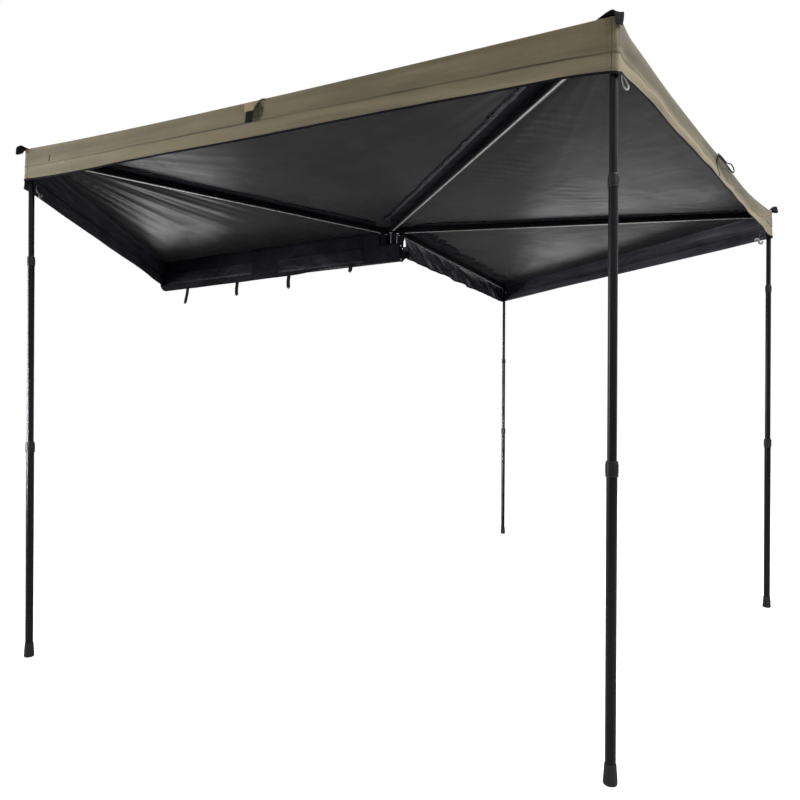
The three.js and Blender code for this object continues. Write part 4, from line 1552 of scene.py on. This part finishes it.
def add_fork(bm, hardware):
    """The two ears that hold the next arm's pin, in the carrying arm's frame."""
    pitch, eye = hardware.knuckle_pitch, hardware.eye_radius
    block(bm, (0.018, 0.030), (0.0, 0.028), (ARM_BOTTOM, ARM_TOP))
    for level in ((ARM_BOTTOM, ARM_BOTTOM + 0.008), (ARM_TOP - 0.008, ARM_TOP)):
        rod(bm, eye, level, Matrix.Translation((0, pitch, 0)))
        block(bm, (-eye, eye), (eye + 0.002, pitch), level)
        block(bm, (0.0, 0.030), (eye + 0.002, 0.028), level)


class AWNING_OT_poles(bpy.types.Operator):
    """Makes the telescopic poles: tubes, twist-lock collars and feet"""

    bl_idname = "awning.poles"
    bl_label = "Poles"

    def execute(self, context):
        for arm in ARMS:
            self.add_top_tube(arm)
            self.add_tube(arm, "middle", 0.0140)
            self.add_tube(arm, "lower", 0.0160)
            self.add_collar(arm, "upper", "middle", 0.0160, 0.0144, 0.0124)
            self.add_collar(arm, "lower", "lower", 0.0190, 0.0164, 0.0144)
            self.add_foot(arm)
        return {"FINISHED"}

    def finish(self, arm, piece, bm, body, material, node):
        finish_piece(f"{piece}_{arm.name}", bm, f"{body}_{arm.name}", material, [node], arm.pole)

    def add_top_tube(self, arm):
        node = f"pole_{arm.name}_top_tube"
        bottom, top = heights(node)
        shoulder = arm.pivot_height - 0.014
        bm = bmesh.new()
        turned(bm, ((0.0104, bottom), (0.0116, bottom), (0.012, bottom + 0.0006),
                    (0.012, shoulder), (0.0, shoulder), (0.0, shoulder - 0.03),
                    (0.0104, shoulder - 0.03)), 64)
        for side in (-1, 1):
            ear = bmesh.new()
            rod(ear, 0.012, (shoulder - 0.001, top), sides=64)
            cut = bmesh.ops.bisect_plane(
                ear, geom=ear.verts[:] + ear.edges[:] + ear.faces[:],
                plane_co=(0, side * 0.0053, 0), plane_no=(0, side, 0), clear_inner=True,
            )["geom_cut"]
            rim = [item for item in cut if isinstance(item, bmesh.types.BMEdge)]
            bmesh.ops.holes_fill(ear, edges=rim)
            soften(ear, 0.0008)
            scrap = bpy.data.meshes.new("ear")
            ear.to_mesh(scrap)
            ear.free()
            bm.from_mesh(scrap)
            bpy.data.meshes.remove(scrap)
        self.finish(arm, "top_section_of_pole", bm, "top_section", "coat", node)

    def add_tube(self, arm, which, radius):
        node = f"pole_{arm.name}_{which}_tube"
        bottom, top = heights(node)
        bore = radius - 0.0016
        bm = bmesh.new()
        turned(bm, ((bore, bottom), (radius - 0.0004, bottom), (radius, bottom + 0.0005),
                    (radius, top - 0.0005), (radius - 0.0004, top), (bore, top)), 72)
        self.finish(arm, f"{which}_section_of_pole", bm, f"{which}_section", "coat", node)

    def add_collar(self, arm, which, tube, radius, wide, narrow):
        node = f"pole_{arm.name}_{which}_collar"
        bottom, top = heights(node)
        seat = heights(f"pole_{arm.name}_{tube}_tube")[1] + CLEAR
        neck = radius - 0.0014
        bm = bmesh.new()
        turned(bm, (
            (wide, bottom), (radius - 0.0012, bottom), (radius, bottom + 0.0012),
            (radius, bottom + 0.006), (neck, bottom + 0.0068), (neck, bottom + 0.0078),
            (radius - 0.0002, bottom + 0.0088), (radius - 0.0002, top - 0.0075),
            (neck, top - 0.0068), (neck, top - 0.006), (radius - 0.0006, top - 0.0052),
            (radius - 0.0014, top - 0.0010), (narrow + 0.0008, top), (narrow, top - 0.0008),
            (narrow, seat), (wide, seat),
        ), 72)
        for index in range(24):
            rib = block(bm, (radius - 0.0012, radius + 0.0002), (-0.0009, 0.0009),
                        (bottom + 0.011, top - 0.010))
            move(bm, rib, Matrix.Rotation(index * math.tau / 24, 4, "Z"))
        self.finish(arm, f"{which}_lock_of_pole", bm, f"{which}_lock", "nylon", node)

    def add_foot(self, arm):
        profile = [(0, 0), (0.0165, 0), (0.0185, 0.0008), (0.0203, 0.0024), (0.021, 0.005),
                   (0.021, 0.015)]
        for step in range(3):
            base = 0.0175 + step * 0.0045
            size = 0.0208 - step * 0.0003
            profile += [(size - 0.0009, base), (size - 0.0009, base + 0.0012), (size, base + 0.002)]
        profile += [(0.0190, 0.042), (0.0178, 0.060), (0.0174, 0.0615), (0.0163, 0.062),
                    (0.0163, 0.0125), (0, 0.0125)]
        bm = bmesh.new()
        turned(bm, profile, 72)
        self.finish(arm, "rubber_foot", bm, "lower_section", "rubber", f"pole_{arm.name}_foot")


class AWNING_OT_rail(bpy.types.Operator):
    """Makes the back rail, the hub bracket, the end plate with its bolts, and the rack brackets"""

    bl_idname = "awning.rail"
    bl_label = "Rail and brackets"

    def execute(self, context):
        self.add_rail()
        self.add_hub_bracket(context.scene.awning_hardware)
        self.add_end_plate()
        for node in ("end_bolt_upper", "end_bolt_lower"):
            self.add_bolt(node)
        for node in ("rack_bracket_rear", "rack_bracket_front"):
            self.add_rack_bracket(node)
        return {"FINISHED"}

    def add_rail(self):
        low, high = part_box("back_rail")
        left, right, bottom, top = low.y, high.y, low.z, high.z
        middle = (bottom + top) / 2
        lip, chamber = right - 0.003, right - 0.010
        slot = [(right, 0.0045), (lip, 0.0045), (lip, 0.009), (chamber, 0.009)]
        points = [(left, bottom), (right, bottom)]
        points += [(y, middle - z) for y, z in slot]
        points += [(y, middle + z) for y, z in reversed(slot)]
        bm = bmesh.new()
        prism(bm, points + [(right, top), (left, top)], low.x, high.x)
        soften(bm, 0.0012)
        finish_piece("rail_profile", bm, RAIL_BODY, "coat", ["back_rail"])
        bm = bmesh.new()
        block(bm, (low.x - 0.0022, low.x - 0.0002), (left + MM, right - MM),
              (bottom + MM, top - MM))
        soften(bm, 0.0006)
        finish_piece("rail_end_cap", bm, RAIL_BODY, "nylon")

    def add_hub_bracket(self, hardware):
        pin = ARMS[0].pin
        base = heights("hub_bracket")[0]
        front, back = (corner.y - pin.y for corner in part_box("back_rail"))
        middle = (front + back) / 2
        bm = bmesh.new()
        add_fork(bm, hardware)
        turn = Matrix.Translation((0, hardware.knuckle_pitch, 0)) @ Matrix.Rotation(math.pi, 4, "Z")
        move(bm, bm.verts, turn)
        block(bm, (-0.060, -0.018), (0.017, middle + 0.011), (ARM_BOTTOM, ARM_TOP))
        block(bm, (-0.060, -0.020), (middle - 0.011, middle + 0.011), (base, ARM_TOP))
        block(bm, (-0.095, 0.015), (front + MM, back - MM), (base, base + 0.006))
        soften(bm, 0.001)
        for x in (-0.082, 0.002):
            rod(bm, 0.0062, (base + 0.006, base + 0.0105), Matrix.Translation((x, middle, 0)), 6)
        finish_piece("hub_fork", bm, RAIL_BODY, "steel", ["hub_bracket"],
                     Matrix.Translation((pin.x, pin.y, GROUND)))

    def add_end_plate(self):
        bm = bmesh.new()
        block(bm, *zip(*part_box("rail_end_plate")))
        lengthwise = [edge for edge in bm.edges
                      if abs(edge.verts[0].co.x - edge.verts[1].co.x) > MM]
        round_edges(bm, lengthwise, 0.004, 4)
        soften(bm, 0.0006)
        finish_piece("end_plate", bm, RAIL_BODY, "steel", ["rail_end_plate"])

    def add_bolt(self, node):
        low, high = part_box(node)
        centre = (low + high) / 2
        along_x = Matrix.Rotation(math.pi / 2, 4, "Y")
        start = Matrix.Translation((low.x, centre.y, centre.z)) @ along_x
        bm = bmesh.new()
        rod(bm, 0.0085, (0.0, 0.0012), start, 40)
        rod(bm, 0.0066, (0.0012, 0.0058), start, 6)
        soften(bm, 0.0006)
        finish_piece(node + "_head", bm, RAIL_BODY, "zinc", [node])

    def add_rack_bracket(self, node):
        low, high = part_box(node)
        middle = (low.x + high.x) / 2
        thick, web = 0.005, 0.034
        wall, floor = low.y + thick, low.z + thick
        bm = bmesh.new()
        block(bm, (low.x, high.x), (low.y, high.y), (low.z, floor))
        block(bm, (low.x, high.x), (low.y, wall), (low.z + MM, high.z))
        upright = [edge for edge in bm.edges
                   if 0.004 < abs(edge.verts[0].co.z - edge.verts[1].co.z) < 0.0055
                   and edge.verts[0].co.y > high.y - MM]
        round_edges(bm, upright, 0.010, 5)
        prism(bm, ((wall - MM, floor - MM), (wall + web, floor - MM), (wall - MM, floor + web)),
              middle - 0.002, middle + 0.002)
        soften(bm, 0.0006)
        for side in (-0.018, 0.018):
            back = Matrix.Translation((middle + side, wall, high.z - 0.012))
            rod(bm, 0.0055, (0.0, 0.004), back @ Matrix.Rotation(-math.pi / 2, 4, "X"), 6)
        finish_piece(node + "_plate", bm, RAIL_BODY, "steel", [node])


# Tabs, loops and cords


class AWNING_OT_trim(bpy.types.Operator):
    """Makes the corner tabs, and the straps and loops on the canopy's edges"""

    bl_idname = "awning.trim"
    bl_label = "Tabs, straps and loops"

    # for each arm: the dip of its folded tab, and points of along, aside, up, half width, twist
    tabs = (
        (1, 0.003, ((0.0035, 0, -0.014, 0.011, 0), (0.0035, 0, 0.006, 0.0145, 0),
                    (0.0005, 0, 0.025, 0.0175, 0), (-0.007, -0.002, 0.0305, 0.0180, 0),
                    (-0.022, -0.006, 0.030, 0.021, 0), (-0.050, -0.014, 0.021, 0.028, 0),
                    (-0.082, -0.024, 0.0145, 0.034, 0))),
        (0, 0.0, ((-0.035, 0, 0.004, 0.0125, 0), (-0.004, 0, 0.0065, 0.0125, 12),
                  (0.013, -0.002, 0.006, 0.0145, 42), (0.026, -0.003, -0.002, 0.014, 52),
                  (0.033, -0.003, -0.010, 0.012, 52), (0.028, 0.003, -0.014, 0.014, 52),
                  (0.013, 0.004, -0.008, 0.0145, 42), (0.0035, 0.0, -0.010, 0.0125, 0))),
        (2, 0.0, ((-0.035, 0, 0.001, 0.0125, 0), (-0.006, 0, 0.010, 0.0150, 20),
                  (0.010, 0.002, 0.014, 0.0190, 48), (0.024, 0.003, 0.014, 0.0215, 58),
                  (0.034, 0.003, 0.012, 0.0215, 58), (0.026, 0.006, 0.006, 0.0215, 58),
                  (0.010, 0.005, 0.003, 0.0190, 48), (0.0035, 0, -0.010, 0.0125, 0))),
    )

    def execute(self, context):
        cloth = context.scene.awning_cloth
        for index, dip, line in self.tabs:
            self.add_tab(ARMS[index], dip, line)
        self.add_front_loop(CanopyHalf(1, 0, cloth))
        self.add_side_strap(CanopyHalf(2, 0, cloth))
        return {"FINISHED"}

    def add_tab(self, arm, dip, line):
        """A folded webbing tab on a smooth line over a corner."""
        corner = arm.reach + CORNER_MARGINS[arm.name]
        points, widths = [], []
        for along, aside, up, half, twist in line:
            points.append(arm.frame @ Vector((corner + along, aside, CANVAS_TOP + up)))
            turn = math.radians(twist)
            widths.append((arm.aside * math.cos(turn) + UP * math.sin(turn)) * half)
        run = run_of(points)

        def place(u, v):
            lift = UP * (dip * bow(v) * (1 - u * u))
            return through(points, v) + through(widths, v) * u - lift

        cloth_piece(
            f"corner_webbing_{arm.name}", spaced(-1, 1, 0.2), spaced(0, 1, 1 / 36), place,
            lambda u, v: (v * run, u * widths[0].length), arm.body, ["webbing"], UP, 0.0022,
            nodes=[f"corner_tab_{arm.name}"],
        )

    def on_valance(self, shape, across, share, out):
        """A point in front of the valance, or of the top above it where the share is below 0."""
        kind, value = ("hang", share) if share >= 0 else ("top", 1 + share)
        return shape.locate(across, kind, value) + shape.rim(across)[1] * out

    def add_patch(self, shape, name, span, levels, out, material, lean=0.0):
        """A small piece of cloth on the valance; levels are shares of the valance's drop."""

        def place(u, v):
            across = mix(span[0], span[1] + lean * (1 - v) ** 2, u)
            return self.on_valance(shape, across, mix(*levels, v), out)

        shape.fold_to_seam(cloth_piece(
            name, spaced(0, 1, 0.1), spaced(0, 1, 0.07), place,
            lambda u, v: (u * 0.03, v * 0.04), shape.body, [material],
            shape.rim(span[0])[1], 0.0012,
        ))

    def add_front_loop(self, shape):
        """A khaki loop whose one side is turned up, over a black square of loop tape, with a
        painted shadow under the turned-up side.
        """
        left, right, end = 0.4715, 0.4880, 0.5085
        for name, span, levels, out, material, lean in (
            ("front_loop_strap", (left, right), (0.0, 0.24), 0.0040, "khaki_webbing", 0.009),
            ("front_loop_tape", (left + 0.003, right - 0.0008), (0.23, 0.57), 0.0018, "webbing", 0),
            # the third patch is painted shadow under the loop's turned-up side
            ("front_loop_hollow", (right - 0.001, end), (0.0, 0.60), 0.0012, "hollow", 0),
            ("front_bar_tack", (0.0624, 0.0634), (0.30, 0.50), 0.0008, "webbing", 0),
        ):
            self.add_patch(shape, name, span, levels, out, material, lean)
        outward = shape.rim(left)[1]
        root = self.on_valance(shape, right, 0.0, 0.0)

        def place(u, v):
            out = 0.004 + 0.005 * math.sin(math.pi * u * 0.75) - 0.002 * v
            up = 0.001 - 0.031 * clamp(1 - u / 0.75) ** 1.6 - 0.006 * v
            return root + shape.edge * (0.053 * u) + outward * out + UP * up

        shape.fold_to_seam(cloth_piece(
            "front_loop_flap", spaced(0, 1, 0.05), spaced(0, 1, 0.09), place,
            lambda u, v: (u * 0.06, v * 0.03), shape.body, ["khaki_webbing", "binding"], outward,
            0.0014, lambda u, v: int(v > 0.4),
        ))

    def add_side_strap(self, shape):
        """A narrow strap that holds the side cord, flat on the valance."""
        across, half = 0.492, 0.0050 / shape.width
        self.add_patch(shape, "side_strap", (across - half, across + half), (0.06, 0.86),
                       0.0016, "webbing")


class AWNING_OT_cords(bpy.types.Operator):
    """Makes the short cords that hang inside the canopy's corners, with their hooks"""

    bl_idname = "awning.cords"
    bl_label = "Corner cords"

    # each cord's points: along the edge or run, and up
    ring = ((-0.0065, 0.002), (-0.0065, -0.010), (-0.0035, -0.023), (0.0025, -0.034),
            (0.0105, -0.038), (0.0165, -0.032), (0.0145, -0.021), (0.0075, -0.009),
            (0.0005, 0.002))
    short = ((0.000, 0.000), (0.004, -0.012), (0.002, -0.024), (-0.010, -0.030),
             (-0.022, -0.034), (-0.034, -0.038))
    long = ((0.000, 0.000), (-0.002, -0.026), (-0.014, -0.054), (-0.036, -0.080))
    hook = ((-1.0, 0.35), (-0.75, 0.8), (-0.2, 0.75), (0.0, 0.1), (0.2, -0.6), (0.75, -0.75),
            (1.0, -0.3), (0.8, 0.05))
    # the side cord's points: along the edge, out and up
    side = ((0.000, 0.004, -0.002), (0.030, 0.0075, -0.004), (0.080, 0.010, -0.007),
            (0.115, 0.011, -0.008), (0.145, 0.012, -0.002), (0.185, 0.014, 0.005),
            (0.220, 0.015, 0.000), (0.234, 0.015, -0.010), (0.222, 0.014, -0.020),
            (0.185, 0.013, -0.022), (0.145, 0.012, -0.018), (0.115, 0.011, -0.017),
            (0.080, 0.010, -0.016), (0.030, 0.0075, -0.013), (0.000, 0.0055, -0.011))

    def execute(self, context):
        cloth = context.scene.awning_cloth
        self.add_ring(CanopyHalf(2, 0, cloth))
        self.add_short_cord(CanopyHalf(0, 1, cloth))
        self.add_long_cord(CanopyHalf(2, 1, cloth))
        self.add_side_cord(CanopyHalf(2, 0, cloth))
        return {"FINISHED"}

    def seat(self, shape, run, height, inside):
        """A point inside the valance, and the direction out of it."""
        across = run / shape.width if run > 0 else 1 + run / shape.width
        point, outward = shape.rim(across)
        at = point - outward * inside
        return standing(at.x, at.y, height), outward

    def control(self, seat, across, line):
        return [seat + across * x + UP * z for x, z in line]

    def tube(self, shape, name, points, radius, material, slot=None):
        """A round piece on a line, on its half of the canopy's body."""
        bm = tube_between(points, radius)
        return shape.fold_to_seam(finish_piece(name, bm, shape.body, material))

    def add(self, shape, name, control, radius, material, far_end, pieces=()):
        """A free cord on the smooth line through its control points."""
        steps = 12 * (len(control) - 1)
        points = [through(control, step / steps) for step in range(steps + 1)]
        piece = self.tube(shape, name, points, radius, material, "webbing")
        tuple(points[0])
        run_of(points)
        [tuple(point) for point in points]

    def add_hook(self, shape, name, at, size, heading):
        """A small moulded hook at a cord's end, in the plane of heading and up."""
        control = [at + heading * (x * size) + UP * (z * size * 0.75) for x, z in self.hook]
        points = [through(control, step / 40) for step in range(41)]
        return self.tube(shape, name, points, size * 0.27, "hook")

    def add_ring(self, shape):
        """A loop of light elastic that shows below the hem."""
        seat, outward = self.seat(shape, 0.080, 2.108, 0.014)
        across = (shape.edge + outward * 0.6).normalized()
        self.add(shape, "corner_elastic", self.control(seat, across, self.ring), 0.0024,
                 "elastic", "object")

    def add_short_cord(self, shape):
        seat, _ = self.seat(shape, -0.088, 2.112, 0.012)
        control = self.control(seat, shape.edge, self.short)
        at = control[-1] - shape.edge * 0.004
        hook = self.add_hook(shape, "short_cord_hook", at, 0.015, shape.edge)
        self.add(shape, "short_corner_cord", control, 0.0016, "elastic", "fitting", [hook])

    def add_long_cord(self, shape):
        seat, outward = self.seat(shape, -0.238, 2.103, 0.011)
        control = self.control(seat, shape.edge, self.long)
        across = (shape.edge * 0.6 + outward * 0.8).normalized()
        hook = self.add_hook(shape, "long_cord_hook", control[-1] - UP * 0.011, 0.020, across)
        self.add(shape, "long_corner_cord", control, 0.0015, "cord", "fitting", [hook])

    def add_side_cord(self, shape):
        """A doubled cord that lies along the side's top edge, with its end open."""
        across = 0.483
        point, outward = shape.rim(across)
        seat = standing(point.x, point.y, CANVAS_TOP + edge_rise(shape.panel, across, 0.0))
        control = [seat + shape.edge * run + outward * out + UP * up for run, out, up in self.side]
        self.add(shape, "side_cord", control, 0.0026, "rubber", "object")


# Sidebar

GROUPS = {
    "awning_cloth": AWNING_PG_cloth,
    "awning_hardware": AWNING_PG_hardware,
    "awning_stage": AWNING_PG_stage,
}
STEPS = (
    AWNING_OT_stage, AWNING_OT_cords, AWNING_OT_canopy, AWNING_OT_bands, AWNING_OT_skirt,
    AWNING_OT_travel_bag, AWNING_OT_arms, AWNING_OT_poles, AWNING_OT_rail, AWNING_OT_trim,
)


class AWNING_PT_sidebar(bpy.types.Panel):
    """Lists the awning's steps and sizes"""

    bl_label = "Awning"
    bl_idname = "AWNING_PT_sidebar"
    bl_space_type = "VIEW_3D"
    bl_region_type = "UI"
    bl_category = "Awning"

    def draw(self, context):
        for step in STEPS:
            self.layout.operator(step.bl_idname)
        for attribute, group in GROUPS.items():
            box = self.layout.box()
            for key in group.__annotations__:
                box.prop(getattr(context.scene, attribute), key)


CLASSES = (*GROUPS.values(), *STEPS, AWNING_PT_sidebar)


def register():
    for each in CLASSES:
        bpy.utils.register_class(each)
    for attribute, group in GROUPS.items():
        setattr(bpy.types.Scene, attribute, bpy.props.PointerProperty(type=group))


def unregister():
    for attribute in GROUPS:
        delattr(bpy.types.Scene, attribute)
    for each in reversed(CLASSES):
        bpy.utils.unregister_class(each)


def main():
    register()
    bpy.ops.awning.stage()
    bpy.ops.awning.cords()
    bpy.ops.awning.canopy()
    bpy.ops.awning.bands()
    bpy.ops.awning.skirt()
    bpy.ops.awning.travel_bag()
    bpy.ops.awning.arms()
    bpy.ops.awning.poles()
    bpy.ops.awning.rail()
    bpy.ops.awning.trim()


if __name__ == "__main__":
    main()
